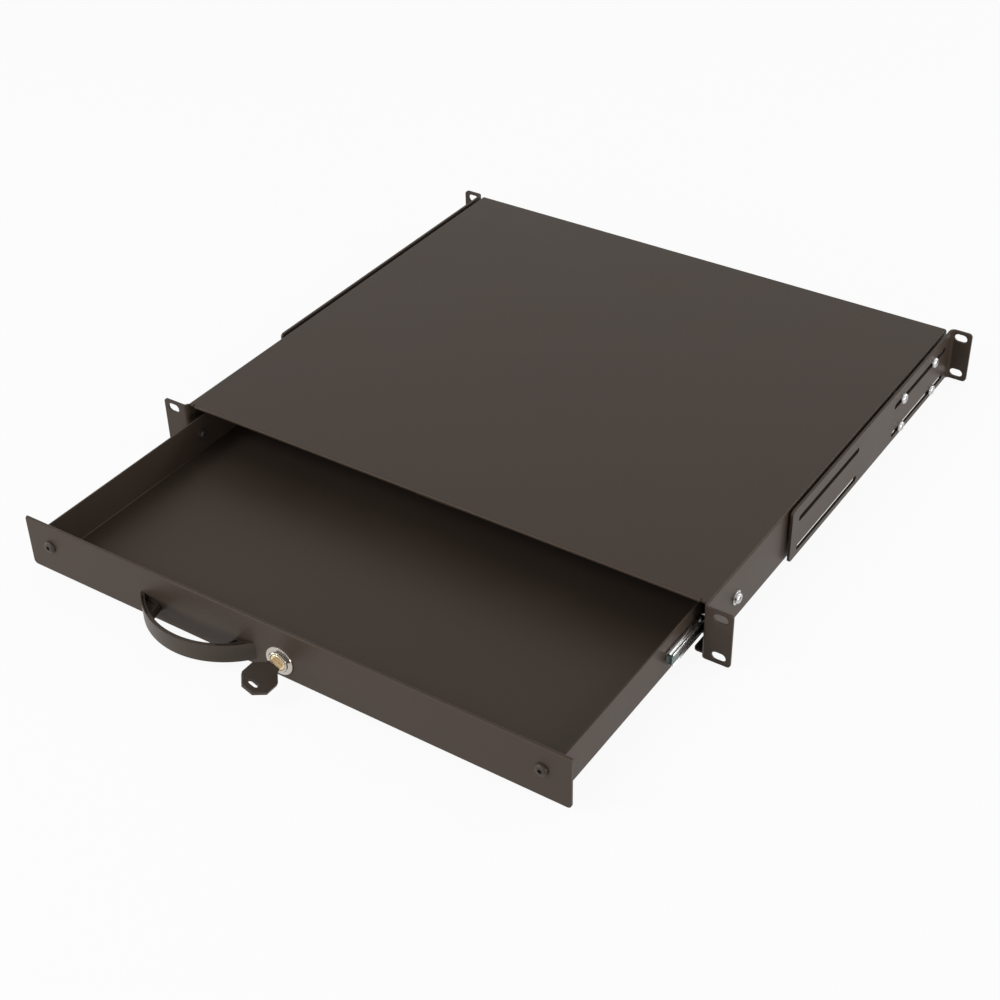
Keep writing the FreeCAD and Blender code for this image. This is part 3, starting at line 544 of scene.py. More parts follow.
def rounded(points, steps=5):
    """Closed outline; a third number in a point is that corner's radius."""
    loop = []
    count = len(points)
    for i, point in enumerate(points):
        corner = Vector(point[:2])
        if len(point) < 3:
            loop.append(corner)
            continue
        back = (Vector(points[i - 1][:2]) - corner).normalized()
        ahead = (Vector(points[(i + 1) % count][:2]) - corner).normalized()
        half = back.angle(ahead) / 2
        reach = point[2] / math.tan(half)
        centre = corner + (back + ahead).normalized() * (point[2] / math.sin(half))
        first = corner + back * reach - centre
        last = corner + ahead * reach - centre
        turn = first.angle(last)
        for k in range(steps + 1):
            a = math.sin((1 - k / steps) * turn) / math.sin(turn)
            b = math.sin(k / steps * turn) / math.sin(turn)
            spot = centre + first * a + last * b
            if not loop or (spot - loop[-1]).length > MEET:
                loop.append(spot)
    if (loop[0] - loop[-1]).length < MEET:
        loop.pop()
    return loop


def slot_loop(x, y, length, width, steps=7):
    """Outline of a round-ended slot, the long way along X."""
    a, b, r = length / 2, width / 2, width / 2
    return rounded([(x - a, y - b, r), (x + a, y - b, r), (x + a, y + b, r),
                    (x - a, y + b, r)], steps)


def flat_blank(loops, cuts):
    """Flat blank with the given outlines, scored across X or Y at each cut.

    The last step takes out slivers, which would stand proud once the wall has its thickness.
    """
    bm = bmesh.new()
    edges = []
    for loop in loops:
        edges += ring(bm, loop)
    fill(bm, edges)
    for axis, value in cuts:
        point, normal = Vector(), Vector()
        point[axis] = value
        normal[axis] = 1.0
        bmesh.ops.bisect_plane(bm, geom=bm.verts[:] + bm.edges[:] + bm.faces[:], dist=NEAR,
                               plane_co=point, plane_no=normal)
    bmesh.ops.dissolve_degenerate(bm, dist=SLIVER, edges=bm.edges[:])
    return bm


def scores(axis, start, radius, angle, steps, sign=1.0):
    """Score lines across a bend, from its start to its end; sign -1 runs them back."""
    arc = radius * angle
    return [(axis, sign * (start + arc * i / steps)) for i in range(steps + 1)]


def curl(along, depth, radius, angle, rigid=False):
    """Where a point of the sheet goes in a bend that starts at nought.

    along is how far past the start it lies, and depth how near to the bend's centre. A rigid
    point is carried round the whole bend wherever it lies.
    """
    arc = radius * angle
    if along <= 0 and not rigid:
        return along, depth
    if along < arc and not rigid:
        t = along / radius
        return (radius - depth) * math.sin(t), radius - (radius - depth) * math.cos(t)
    rest = along - arc
    return ((radius - depth) * math.sin(angle) + rest * math.cos(angle),
            radius - (radius - depth) * math.cos(angle) + rest * math.sin(angle))


def press(bm, place):
    """Moves every vertex of a flat blank to its folded place, then merges flat faces."""
    for vert in bm.verts:
        vert.co = place(vert.co.x, vert.co.y)
    bmesh.ops.dissolve_limit(bm, angle_limit=FLAT_ANGLE, use_dissolve_boundaries=False,
                             verts=bm.verts[:], edges=bm.edges[:])
    return bm


def turned_shape(profile, steps=32):
    """Solid of revolution from an (r, h) chain about the Z axis."""
    bm = bmesh.new()
    verts, edges = chain(bm, [(r, 0.0, h) for r, h in profile])
    bmesh.ops.spin(bm, geom=verts + edges, cent=(0.0, 0.0, 0.0), axis=(0.0, 0.0, 1.0),
                   angle=2 * math.pi, steps=steps, use_merge=True)
    bmesh.ops.remove_doubles(bm, verts=bm.verts, dist=NEAR)
    bmesh.ops.recalc_face_normals(bm, faces=bm.faces)
    return bm


def prism(loop, z0, z1):
    """Straight block with the given outline between two heights."""
    bm = bmesh.new()
    face = bm.faces.new([bm.verts.new((p[0], p[1], z0)) for p in loop])
    verts = new_verts(bmesh.ops.extrude_face_region(bm, geom=[face]))
    bmesh.ops.translate(bm, vec=(0.0, 0.0, z1 - z0), verts=verts)
    bmesh.ops.recalc_face_normals(bm, faces=bm.faces)
    return bm


# ------------------------------------------------------------ screws
def thread_profile(radius, length, pitch):
    """Ridged shank outline from its tip, at -length, up to just under the head."""
    lead = -length + pitch * 0.6
    outline = [(0.0, -length), (radius * 0.72, -length), (radius * 0.86, lead)]
    ridges = max(1, int((length - pitch) / pitch))
    step = (length - pitch * 0.6) / (ridges + 0.5)
    for i in range(ridges):
        h = lead + step * (i + 0.5)
        outline += [(radius, h), (radius * 0.84, h + step * 0.5)]
    return outline + [(radius, -0.05 * MM)]


def cross_outline(size, width):
    """Outline of a cross recess."""
    a, b = size, width / 2
    return [(a, -b), (a, b), (b, b), (b, a), (-b, a), (-b, b), (-a, b), (-a, -b), (-b, -b),
            (-b, -a), (b, -a), (b, -b)]


def hexagon(flats):
    """Outline of a hexagon recess of a size across its flats."""
    r = flats / math.sqrt(3)
    turns = [math.radians(60 * i) for i in range(6)]
    return [(r * math.cos(turn), r * math.sin(turn)) for turn in turns]


def screw(radius, head, length, recess, depth, taper=0.7):
    """Screw standing on z = 0; head is an (r, h) chain from its rim up to the flat middle."""
    pitch = 0.7 * MM
    bm = turned_shape(thread_profile(radius, length, pitch) + [(radius, 0.0)] + head)
    rim = [e for e in bm.edges if e.is_boundary]
    mouth = ring(bm, recess, head[-1][1])
    fill(bm, rim + mouth)
    grown = bmesh.ops.extrude_edge_only(bm, edges=mouth)
    lower = new_verts(grown)
    bmesh.ops.scale(bm, vec=(taper, taper, 1.0), verts=lower)
    bmesh.ops.translate(bm, vec=(0.0, 0.0, -depth), verts=lower)
    bmesh.ops.triangle_fill(bm, use_beauty=True, use_dissolve=True, edges=new_edges(grown))
    bmesh.ops.recalc_face_normals(bm, faces=bm.faces)
    return bm


def dome(radius, flat, height, steps=6, skirt=0.25):
    """Outline of a domed head from its lower rim, up a straight skirt, to its flat middle."""
    outline = [(radius, 0.0), (radius, height * skirt)]
    for i in range(1, steps + 1):
        t = i / steps * QUARTER
        outline.append((flat + (radius - flat) * math.cos(t),
                        height * (skirt + (1 - skirt) * math.sin(t))))
    return outline


def pan_screw(radius, head_r, head_h, length, flange=0.0):
    """Pan head screw with a cross recess, on a flange where one is given."""
    rise = 0.8 * MM if flange else 0.0
    head = [(r, h + rise) for r, h in dome(head_r, head_r * 0.62, head_h - rise)]
    if flange:
        head = [(flange, 0.0), (flange, 0.5 * MM), (flange - 0.3 * MM, rise)] + head
    return screw(radius, head, length, cross_outline(head_r * 0.56, head_r * 0.24), 1.2 * MM)


def button_screw(radius, head_r, head_h, length, key):
    """Button head screw with a hexagon recess."""
    return screw(radius, dome(head_r, head_r * 0.5, head_h, steps=8, skirt=0.12), length,
                 hexagon(key), 1.5 * MM, taper=0.96)


def screw_set(name, node, make, seat, direction, material, body):
    """Same screw at each place of a CAD node, as one piece that stands for it.

    seat is the height of the heads' underside along the axis they face.
    """
    axis = [abs(step) for step in direction].index(1)
    first_turn, next_turn = 0.4, 1.1
    bm = bmesh.new()
    for i, spot in enumerate(solid_centres(node, seat, axis)):
        part = make()
        bmesh.ops.rotate(part, cent=(0.0, 0.0, 0.0), verts=part.verts,
                         matrix=Matrix.Rotation(first_turn + next_turn * i, 3, "Z"))
        join(bm, part, stand(spot, direction))
    return make_piece(name, bm, material, body, [node])


def solid_centres(node, seat, axis=0):
    """Middles of a CAD node's separate solids, each moved to the seat along the axis."""
    bm = bmesh.new()
    bm.from_mesh(frame["nodes"][node].data)
    bmesh.ops.remove_doubles(bm, verts=bm.verts, dist=MEET)
    spots = []
    left = set(bm.verts)
    while left:
        group, waiting = [], [left.pop()]
        while waiting:
            vert = waiting.pop()
            group.append(vert.co.copy())
            near = {edge.other_vert(vert) for edge in vert.link_edges} & left
            left -= near
            waiting += near
        centre = [(min(p[k] for p in group) + max(p[k] for p in group)) / 2 for k in range(3)]
        centre[axis] = seat
        spots.append(Vector(centre))
    bm.free()
    return sorted(spots, key=lambda p: (round(p.y, 4), round(p.z, 4), round(p.x, 4)))


# ------------------------------------------------------------ case
def case_blank():
    """Case in one sheet: top, sides, lips, ears and front hem.

    Across the blank, from its middle, s0 to s1 is the bend under the top, s2 to s3 the bend over
    the lip, and s4 the lip's edge.
    """
    t = sheet().case_wall
    steps = sheet().bend_steps
    mid = BEND - t / 2
    arc = mid * QUARTER
    s0 = CASE_X - BEND
    s1 = s0 + arc
    s2 = s1 + (TOP - BASE - 2 * BEND)
    s3 = s2 + arc
    s4 = s3 + LIP - BEND
    middle = (s1 + s2) / 2
    half = (TOP - BASE) / 2
    hem_r = t / 2 + HEM_GAP
    hem_line = CASE_FRONT + t / 2 + hem_r
    hem_end = hem_line - hem_r * math.pi - (HEM_DEPTH - t)
    hem_root = hem_line + HEM_ROOT
    hem_x = CASE_X - HEM_END
    notch = hem_x + HEM_NOTCH
    ear_r = EAR_BEND - t / 2
    ear_line = -t / 2 + ear_r
    ear_flat = ear_line - ear_r * QUARTER
    ear_end = ear_flat - (EAR_X - (CASE_X - t / 2 + ear_r))
    slit = CASE_FRONT - EAR_SLIT
    right = [(hem_x, hem_end), (hem_x, hem_root), (notch, hem_root), (notch, CASE_FRONT),
             (s1, CASE_FRONT), (s1, slit), (middle - half, slit),
             (middle - half, ear_end, EAR_CORNER), (middle + half, ear_end, EAR_CORNER),
             (middle + half, slit), (s2, slit), (s2, CASE_FRONT), (s4, CASE_FRONT, CORNER),
             (s4, REAR - LIP_BACK, CORNER), (s3, REAR)]
    left = [(-p[0],) + tuple(p[1:]) for p in reversed(right)]
    loops = [rounded(right + left)]
    hole_y = ear_flat - (SLOT_X - (CASE_X - t / 2 + ear_r))
    cuts = []
    for side in (-1, 1):
        for z in (-SLOT_Z, SLOT_Z):
            loop = slot_loop(hole_y, middle + z, SLOT_L, SLOT_W)
            loops.append([(side * p[1], p[0]) for p in loop])
        cuts += scores(0, s0, mid, QUARTER, steps, side)
        cuts += scores(0, s2, mid, QUARTER, steps, side)
    cuts += scores(1, -ear_line, ear_r, QUARTER, steps, -1)
    cuts += scores(1, -hem_line, hem_r, math.pi, HEM_STEPS, -1)
    ear_from = hem_x + 1.5 * MM
    hem_to = hem_x + 0.2 * MM

    def place(x, y):
        side = -1.0 if x < 0 else 1.0
        s, up = abs(x), 0.0
        if s > ear_from and y < slit + NEAR:
            ahead, out = curl(ear_line - y, 0.0, ear_r, QUARTER)
            a, b = curl(s - s0, -out, mid, QUARTER, True)
            return Vector((side * (s0 + a), ear_line - ahead, TOP - t / 2 - b))
        if s < hem_to and y < hem_line:
            a, b = curl(hem_line - y, 0.0, hem_r, math.pi)
            y, up = hem_line - a, -b
        if s > s2:
            a, b = curl(s - s2, 0.0, mid, QUARTER)
            s, up = s2 + a, -b
        if s > s0:
            a, b = curl(s - s0, -up, mid, QUARTER)
            return Vector((side * (s0 + a), y, TOP - t / 2 - b))
        return Vector((x, y, TOP - t / 2 + up))

    return press(flat_blank(loops, cuts), place)


# ------------------------------------------------------------ rear brackets
def bracket_blank():
    """Slotted arm with its ear turned outwards at the rear, right-hand side."""
    steps = sheet().bend_steps
    radius = ARM_BEND - ARM_T / 2
    line = ARM[1].y - ARM_T / 2 - radius
    arm_x = ARM[0].x + ARM_T / 2
    ear = line + radius * QUARTER - (arm_x + radius)
    front, end = ARM[0].y, ear + ARM[1].x
    loops = [rounded([(front, BASE, CORNER), (end, BASE, CORNER), (end, TOP, CORNER),
                      (front, TOP, CORNER)], 6)]
    loops += [slot_loop(y, z, ARM_SLOT_L, ARM_SLOT_W) for z in ARM_SLOT_Z for y in ARM_SLOT_Y]
    loops += [slot_loop(ear + SLOT_X, z, SLOT_L, SLOT_W) for z in (-SLOT_Z, SLOT_Z)]

    def place(y, z):
        a, b = curl(y - line, 0.0, radius, QUARTER)
        return Vector((arm_x + b, line + a, z))

    return press(flat_blank(loops, scores(0, line, radius, QUARTER, steps)), place)


# ------------------------------------------------------------ tray and panel
def tray_blank():
    """Tray in one sheet: floor and four walls, with a seam at each corner."""
    t = sheet().tray_wall
    steps = sheet().bend_steps
    radius = TRAY_BEND - t / 2
    arc = radius * QUARTER
    low = TRAY[0].z + t / 2
    x0 = TRAY[1].x - TRAY_BEND
    y0, y1 = TRAY[0].y + TRAY_BEND, TRAY[1].y - TRAY_BEND
    wall = TRAY[1].z - TRAY[0].z - TRAY_BEND
    x2 = x0 + arc + wall
    y2, y3 = y0 - arc - wall, y1 + arc + wall
    seam = TRAY_BEND - t - TRAY_SEAM
    right = [(x0 - seam, y2), (x0 - seam, y0), (x0, y0), (x0, y0 - seam), (x2, y0 - seam),
             (x2, y1 + seam), (x0, y1 + seam), (x0, y1), (x0 - seam, y1), (x0 - seam, y3)]
    left = [(-p[0], p[1]) for p in reversed(right)]
    cuts = []
    for side in (-1, 1):
        cuts += scores(0, x0, radius, QUARTER, steps, side)
    cuts += scores(1, -y0, radius, QUARTER, steps, -1)
    cuts += scores(1, y1, radius, QUARTER, steps)

    def place(x, y):
        if abs(x) > x0:
            a, b = curl(abs(x) - x0, 0.0, radius, QUARTER)
            return Vector((math.copysign(x0 + a, x), y, low + b))
        if y < y0:
            a, b = curl(y0 - y, 0.0, radius, QUARTER)
            return Vector((x, y0 - a, low + b))
        if y > y1:
            a, b = curl(y - y1, 0.0, radius, QUARTER)
            return Vector((x, y1 + a, low + b))
        return Vector((x, y, low))

    return press(flat_blank([rounded(right + left)], cuts), place)


def panel_blank():
    """Front panel with its top edge folded back."""
    t = sheet().case_wall
    radius = t / 2 + HEM_GAP
    line = PANEL[1].z - t / 2 - radius
    end = line + radius * math.pi + (PANEL_HEM - t)
    x, foot = PANEL[1].x, PANEL[0].z
    loop = rounded([(-x, foot, CORNER), (x, foot, CORNER), (x, end), (-x, end)])
    bm = flat_blank([loop], scores(1, line, radius, math.pi, HEM_STEPS))

    def place(x, z):
        a, b = curl(z - line, 0.0, radius, math.pi)
        return Vector((x, PANEL[0].y + t / 2 + b, line + a))

    return press(bm, place)


# ------------------------------------------------------------ ball slides
def race_arc(start, end, radius, steps=8):
    """Points of a ball race, (in from the wall, up from the middle), angles in degrees."""
    points = []
    for i in range(steps + 1):
        t = math.radians(start + (end - start) * i / steps)
        points.append((BALL_IN + radius * math.cos(t), BALL_UP + radius * math.sin(t)))
    return points


def strip_section(upper, y0, y1):
    """Rolled strip: the upper half of its middle line, mirrored down, drawn along Y."""
    line = [(u, -w) for u, w in reversed(upper)] + upper
    bm = bmesh.new()
    edges = chain(bm, [(WALL_X - u, y0, SLIDE_Z + w) for u, w in line])[1]
    moved = new_verts(bmesh.ops.extrude_edge_only(bm, edges=edges))
    bmesh.ops.translate(bm, vec=(0.0, y1 - y0, 0.0), verts=moved)
    return bm


def rail_strip():
    """Outer half: a web on the case wall, stepped in to a race above and below."""
    half = STRIP / 2
    arc = race_arc(140, 40, RACE_R + half)
    foot = arc[0][1]
    web = [(half, STRIP_MID), (half, foot - 0.55 * MM), (half + 0.2 * MM, foot - 0.15 * MM),
           (half + 0.6 * MM, foot)]
    return strip_section(web + arc, RAIL[0].y, RAIL[1].y)


def runner_strip():
    """Inner half: a web on the tray's side, stepped out to a race above and below."""
    web_u = WALL_X - RUNNER[0].x - STRIP / 2
    arc = race_arc(-40, -140, RACE_R + STRIP / 2)
    foot = arc[0][1]
    web = [(web_u, STRIP_MID), (web_u, foot - 0.5 * MM), (web_u - 0.25 * MM, foot - 0.1 * MM)]
    return strip_section(web + arc, RUNNER[0].y, RUNNER[1].y)


class BuildOperator(Operator):
    """Base of the build steps."""
    bl_options = {"REGISTER", "UNDO"}


class RACKDRAWER_OT_case(BuildOperator):
    """Fold the case from its blank"""
    bl_idname = "rackdrawer.case"
    bl_label = "Case"

    def execute(self, context):
        make_piece("case_cover", case_blank(), powder_coat(), "case",
                   ["case_shell"], sheet().case_wall, sheet().edge)
        make_piece("cam_strike", strike_mesh(), powder_coat(), "case",
                   ["lock_strike"], 0.0, 0.2 * MM)
        return {"FINISHED"}


def strike_mesh():
    """Angle welded under the hem, that the cam turns up behind."""
    low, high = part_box("lock_strike")
    t = sheet().case_wall
    face, foot = low.y + STRIKE_BACK, low.z + STRIKE_FOOT
    loop = [(face, high.z), (face, high.z - t), (high.y - t, high.z - t), (high.y - t, foot),
            (high.y, foot), (high.y, high.z)]
    bm = prism(rounded(loop), low.x, high.x)
    bmesh.ops.transform(bm, verts=bm.verts, matrix=ALONG_X)
    return bm


class RACKDRAWER_OT_brackets(BuildOperator):
    """Fold the two slotted rear brackets"""
    bl_idname = "rackdrawer.brackets"
    bl_label = "Rear brackets"

    def execute(self, context):
        for side, _ in SIDES:
            make_piece("bracket_" + side, on_side(bracket_blank(), side), powder_coat(),
                       "bracket_" + side, ["rear_bracket_" + side],
                       ARM_T * ARM_FIT, sheet().edge)
        return {"FINISHED"}


class RACKDRAWER_OT_tray(BuildOperator):
    """Fold the tray and the front panel"""
    bl_idname = "rackdrawer.tray"
    bl_label = "Tray and panel"

    def execute(self, context):
        make_piece("drawer_tray", tray_blank(), powder_coat(), "drawer",
                   ["tray"], sheet().tray_wall, sheet().edge * 0.8)
        make_piece("drawer_panel", panel_blank(), powder_coat(), "drawer",
                   ["front_panel"], sheet().case_wall, sheet().edge)
        return {"FINISHED"}


def bumper_mesh(side):
    """End stop in the open end of a runner, its face dished."""
    rim, slope, dish = 0.55 * MM, 0.9 * MM, 0.5 * MM
    low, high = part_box("runner_bumper_" + side)
    bm = prism([(low.x, low.z), (high.x, low.z), (high.x, high.z), (low.x, high.z)],
               low.y, high.y)
    bmesh.ops.transform(bm, verts=bm.verts, matrix=ALONG_Y)
    bmesh.ops.recalc_face_normals(bm, faces=bm.faces)
    front = [f for f in bm.faces if f.normal.y < -0.9]
    for width in (rim, slope):
        bmesh.ops.inset_region(bm, faces=front, thickness=width, use_even_offset=True)
    bmesh.ops.translate(bm, vec=(0.0, dish, 0.0), verts=[v for f in front for v in f.verts])
    return bm


class RACKDRAWER_OT_slides(BuildOperator):
    """Roll the rails and runners of the slides, and make their balls and end stops"""
    bl_idname = "rackdrawer.slides"
    bl_label = "Ball slides"

    def execute(self, context):
        for side, sign in SIDES:
            for name, make, body in (("outer_rail_", rail_strip, "case"),
                                     ("runner_", runner_strip, "drawer")):
                make_piece("slide_" + name + side, on_side(make(), side), zinc_strip(), body,
                           [name + side], STRIP * STRIP_FIT, 0.12 * MM)
            bm = bmesh.new()
            for spot in solid_centres("balls_" + side, sign * (WALL_X - BALL_IN)):
                bmesh.ops.create_uvsphere(bm, u_segments=20, v_segments=12, radius=BALL_R,
                                          matrix=Matrix.Translation(spot))
            make_piece("slide_balls_" + side, bm, ball_steel(), "cage_" + side,
                       ["balls_" + side])
            make_piece("slide_bumper_" + side, bumper_mesh(side), bumper_plastic(), "drawer",
                       ["runner_bumper_" + side], 0.0, 0.15 * MM)
        return {"FINISHED"}


class RACKDRAWER_OT_screws(BuildOperator):
    """Turn the screws"""
    bl_idname = "rackdrawer.screws"
    bl_label = "Screws"

    def execute(self, context):
        zinc, oxide = zinc_part(), black_oxide()
        for side, sign in SIDES:
            screw_set("arm_screws_" + side, "bracket_screws_" + side,
                      lambda: pan_screw(M4_R, 4.2 * MM, 2.6 * MM, 9.1 * MM),
                      sign * (ARM[0].x + ARM_T), (sign, 0, 0), zinc, "case")
            screw_set("front_screw_" + side, "rail_screw_" + side,
                      lambda: pan_screw(M4_R, 4.0 * MM, 2.6 * MM, 3.5 * MM),
                      sign * (CASE_X + 1.0 * MM), (sign, 0, 0), zinc, "case")
            screw_set("inner_screws_" + side, "runner_screws_" + side,
                      lambda: pan_screw(M4_R, 3.9 * MM, 3.1 * MM, 3.0 * MM, flange=5.2 * MM),
                      sign * (TRAY[1].x - TRAY_T), (-sign, 0, 0), oxide, "drawer")
        screw_set("front_buttons", "panel_screws",
                  lambda: button_screw(M5_R, 4.75 * MM, 2.75 * MM, 7.7 * MM, 3.0 * MM),
                  PANEL[0].y, (0, -1, 0), oxide, "drawer")
        screw_set("bow_screws", "handle_screws",
                  lambda: pan_screw(M4_R, 4.0 * MM, 2.6 * MM, 9.7 * MM),
                  TRAY[0].y + TRAY_T, (0, 1, 0), zinc, "drawer")
        return {"FINISHED"}


# ------------------------------------------------------------ handle
def handle_mesh():
    """Bow strap spun round its centre, grooved above and below, with a foot at each end."""
    x0 = (HANDLE[0].x + HANDLE[1].x) / 2
    z0, z1 = HANDLE[0].z, HANDLE[1].z
    back = PANEL[0].y
    cy = back + math.sqrt(HANDLE_R ** 2 - HANDLE_HALF ** 2)
    past = 0.06
    reach = math.asin(HANDLE_HALF / HANDLE_R) + past
    inner = HANDLE_R - HANDLE_T
    bm = bmesh.new()
    face = bm.faces.new([bm.verts.new((x0 + r * math.sin(-reach), cy - r * math.cos(reach), z))
                         for r, z in ((inner, z0), (HANDLE_R, z0), (HANDLE_R, z1), (inner, z1))])
    bmesh.ops.spin(bm, geom=[face], cent=(x0, cy, 0.0), axis=(0.0, 0.0, 1.0), angle=2 * reach,
                   steps=48, use_merge=False)
    bmesh.ops.recalc_face_normals(bm, faces=bm.faces)
    bmesh.ops.bisect_plane(bm, geom=bm.verts[:] + bm.edges[:] + bm.faces[:], dist=NEAR,
                           plane_co=(0.0, back, 0.0), plane_no=(0.0, 1.0, 0.0),
                           clear_outer=True)
    bmesh.ops.holes_fill(bm, edges=[e for e in bm.edges if e.is_boundary], sides=0)
    bmesh.ops.recalc_face_normals(bm, faces=bm.faces)
    for side in (-1.0, 1.0):
        for up in (-1.0, 1.0):
            sink(bm, [f for f in bm.faces if f.normal.z * up > 0.9 and
                      GROOVE[0] < (f.calc_center_median().x - x0) * side < GROOVE[1]],
                 0.95 * MM, 1.6 * MM, up)
    for side in (-1.0, 1.0):
        join(bm, foot_mesh(x0, cy, side, z0 + FOOT_IN, z1 - FOOT_IN))
    return bm


def foot_mesh(x0, cy, side, z0, z1):
    """Foot between strap and panel, wedge-shaped, hollowed from above and below."""
    points = 8
    radius = HANDLE_R - HANDLE_T * 0.6
    inner = HANDLE_HALF - FOOT_REACH
    loop = []
    for i in range(points + 1):
        x = HANDLE_HALF - 0.4 * MM - (FOOT_REACH + 3.6 * MM) * i / points
        y = cy - math.sqrt(radius ** 2 - x ** 2)
        loop.append((x0 + side * x, min(y, PANEL[0].y)))
    loop.append((x0 + side * inner, PANEL[0].y))
    bm = prism(loop, z0, z1)
    for face in [f for f in bm.faces if abs(f.normal.z) > 0.9]:
        sink(bm, [face], 1.1 * MM, 1.2 * MM, math.copysign(1.0, face.normal.z))
    bmesh.ops.recalc_face_normals(bm, faces=bm.faces)
    return bm


class RACKDRAWER_OT_handle(BuildOperator):
    """Mould the bow handle"""
    bl_idname = "rackdrawer.handle"
    bl_label = "Handle"

    def execute(self, context):
        make_piece("bow_handle", handle_mesh(), black_plastic(), "drawer",
                   ["handle"], 0.0, 0.7 * MM)
        return {"FINISHED"}


# ------------------------------------------------------------ lock and key
def turn_with_key(bm):
    """Turns lock parts drawn upright to where the key has turned them."""
    bmesh.ops.rotate(bm, cent=(LOCK_X, 0.0, LOCK_Z), verts=bm.verts,
                     matrix=Matrix.Rotation(LOCK_TURN, 3, Vector((0.0, -1.0, 0.0))))
    return bm


def into_panel(bm):
    """Moves a shape drawn up the Z axis onto the lock's axis, facing out of the panel."""
    bmesh.ops.transform(bm, matrix=stand((LOCK_X, PANEL[0].y, LOCK_Z), (0, -1, 0)),
                        verts=bm.verts)
    return bm


# Outline of the bezel from the barrel round towards the bore: radius and height in millimetres
BEZEL = ((8.0, 0.0), (10.8, 0.0), (10.8, 0.75), (10.6, 1.05), (10.1, 1.2), (8.4, 1.9),
         (8.05, 1.9), (7.9, 1.3), (7.6, 1.3), (7.5, 2.7), (7.25, 2.95), (6.5, 3.0), (6.15, 2.9),
         (5.95, 2.2))


def housing_mesh():
    """Lock body: threaded barrel with an open bore, and its bezel."""
    ridges = 9
    ridge, lead = 0.5 * MM, 0.4 * MM
    depth = LOCK[1].y - PANEL[0].y
    low = -depth + 1.0 * MM
    outline = [(BORE_R, -depth), (THREAD_ROOT, -depth), (THREAD_R, -depth + lead)]
    for i in range(ridges):
        h = low + (THREAD_END - low) * i / ridges
        outline += [(THREAD_R, h), (THREAD_ROOT, h + ridge)]
    outline += [(THREAD_R, THREAD_END)] + [(r * MM, h * MM) for r, h in BEZEL]
    outline += [(BORE_R, 2.1 * MM), (BORE_R, -depth)]
    return into_panel(turned_shape(outline, 48))


def plug_mesh():
    """Plug with its keyway and square tail."""
    bm = bmesh.new()
    chamfer, inside = 0.25 * MM, 0.955
    rim = [(PLUG_R * math.cos(math.radians(7.5 * i)), PLUG_R * math.sin(math.radians(7.5 * i)))
           for i in range(48)]
    t, w = KEYWAY
    side = ring(bm, rim, PLUG_FRONT - chamfer)
    face = ring(bm, [(x * inside, y * inside) for x, y in rim], PLUG_FRONT)
    way = ring(bm, [(-t, -w), (t, -w), (t, w), (-t, w)], PLUG_FRONT)
    bmesh.ops.bridge_loops(bm, edges=side + face)
    fill(bm, face + way)
    for loop, depth in ((side, PLUG_L), (way, KEYWAY_L)):
        grown = bmesh.ops.extrude_edge_only(bm, edges=loop)
        bmesh.ops.translate(bm, vec=(0.0, 0.0, -depth), verts=new_verts(grown))
        bmesh.ops.triangle_fill(bm, use_beauty=True, use_dissolve=True, edges=new_edges(grown))
    bmesh.ops.recalc_face_normals(bm, faces=bm.faces)
    half, length, end = 3.5 * MM, 2.3 * MM, PLUG_FRONT - PLUG_L
    join(bm, prism([(-half, -half), (half, -half), (half, half), (-half, half)],
                   end - length, end))
    return turn_with_key(into_panel(bm))


def key_head_mesh():
    """Moulded eight-sided head with a slot for a ring, and its neck."""
    back = PLUG[0].y - 5.4 * MM
    half_l, half_w = 12.3 * MM, 10.9 * MM
    cut_l, cut_w, soft = 7.2 * MM, 6.4 * MM, 0.8 * MM
    mid = back - half_l
    quarter = [(half_l, half_w - cut_w), (half_l - cut_l, half_w)]
    corners = [(-x, -y) for x, y in quarter] + [(x, -y) for x, y in reversed(quarter)]
    corners += quarter + [(-x, y) for x, y in reversed(quarter)]
    head = rounded([(mid + x, y, soft) for x, y in corners], 3)
    hole = [(p[1], p[0]) for p in slot_loop(0.0, mid - 6.5 * MM, 7.6 * MM, 4.0 * MM, 5)]
    bm = flat_blank([head, hole], [])
    upper = new_verts(bmesh.ops.extrude_face_region(bm, geom=bm.faces[:]))
    bmesh.ops.translate(bm, vec=(0.0, 0.0, KEY_T), verts=upper)
    bmesh.ops.translate(bm, vec=(0.0, 0.0, -KEY_T / 2), verts=bm.verts)
    bmesh.ops.recalc_face_normals(bm, faces=bm.faces)
    y0, y1, neck_w, neck_t = back - 1.0 * MM, back + 2.0 * MM, 5.0 * MM, 1.3 * MM
    join(bm, prism([(y0, -neck_w), (y1, 0.4 * MM - neck_w), (y1, neck_w - 0.4 * MM),
                    (y0, neck_w)], -neck_t, neck_t))
    matrix = Matrix.Translation((LOCK_X, 0.0, LOCK_Z)) @ ALONG_X
    bmesh.ops.transform(bm, matrix=matrix, verts=bm.verts)
    return turn_with_key(bm)


class RACKDRAWER_OT_lock(BuildOperator):
    """Turn the lock and cut its key"""
    bl_idname = "rackdrawer.lock"
    bl_label = "Lock and key"

    def execute(self, context):
        make_piece("lock_body", housing_mesh(), nickel_plate(), "drawer",
                   ["lock_housing"])
        make_piece("lock_core", plug_mesh(), turned_brass(), "plug", ["lock_plug"])
        make_piece("key_grip", key_head_mesh(), key_plastic(), "key",
                   ["key_head"], 0.0, 0.5 * MM)
        return {"FINISHED"}


# ------------------------------------------------------------ what stays as built in CAD
CARRIED = {
    "black_powder_coat": powder_coat,
    "zinc_strip": zinc_strip,
    "zinc_fasteners": zinc_part,
    "ball_steel": ball_steel,
    "white_plastic": bumper_plastic,
    "black_oxide_steel": black_oxide,
    "black_plastic": black_plastic,
    "nickel_plate": nickel_plate,
    "brass": turned_brass,
}


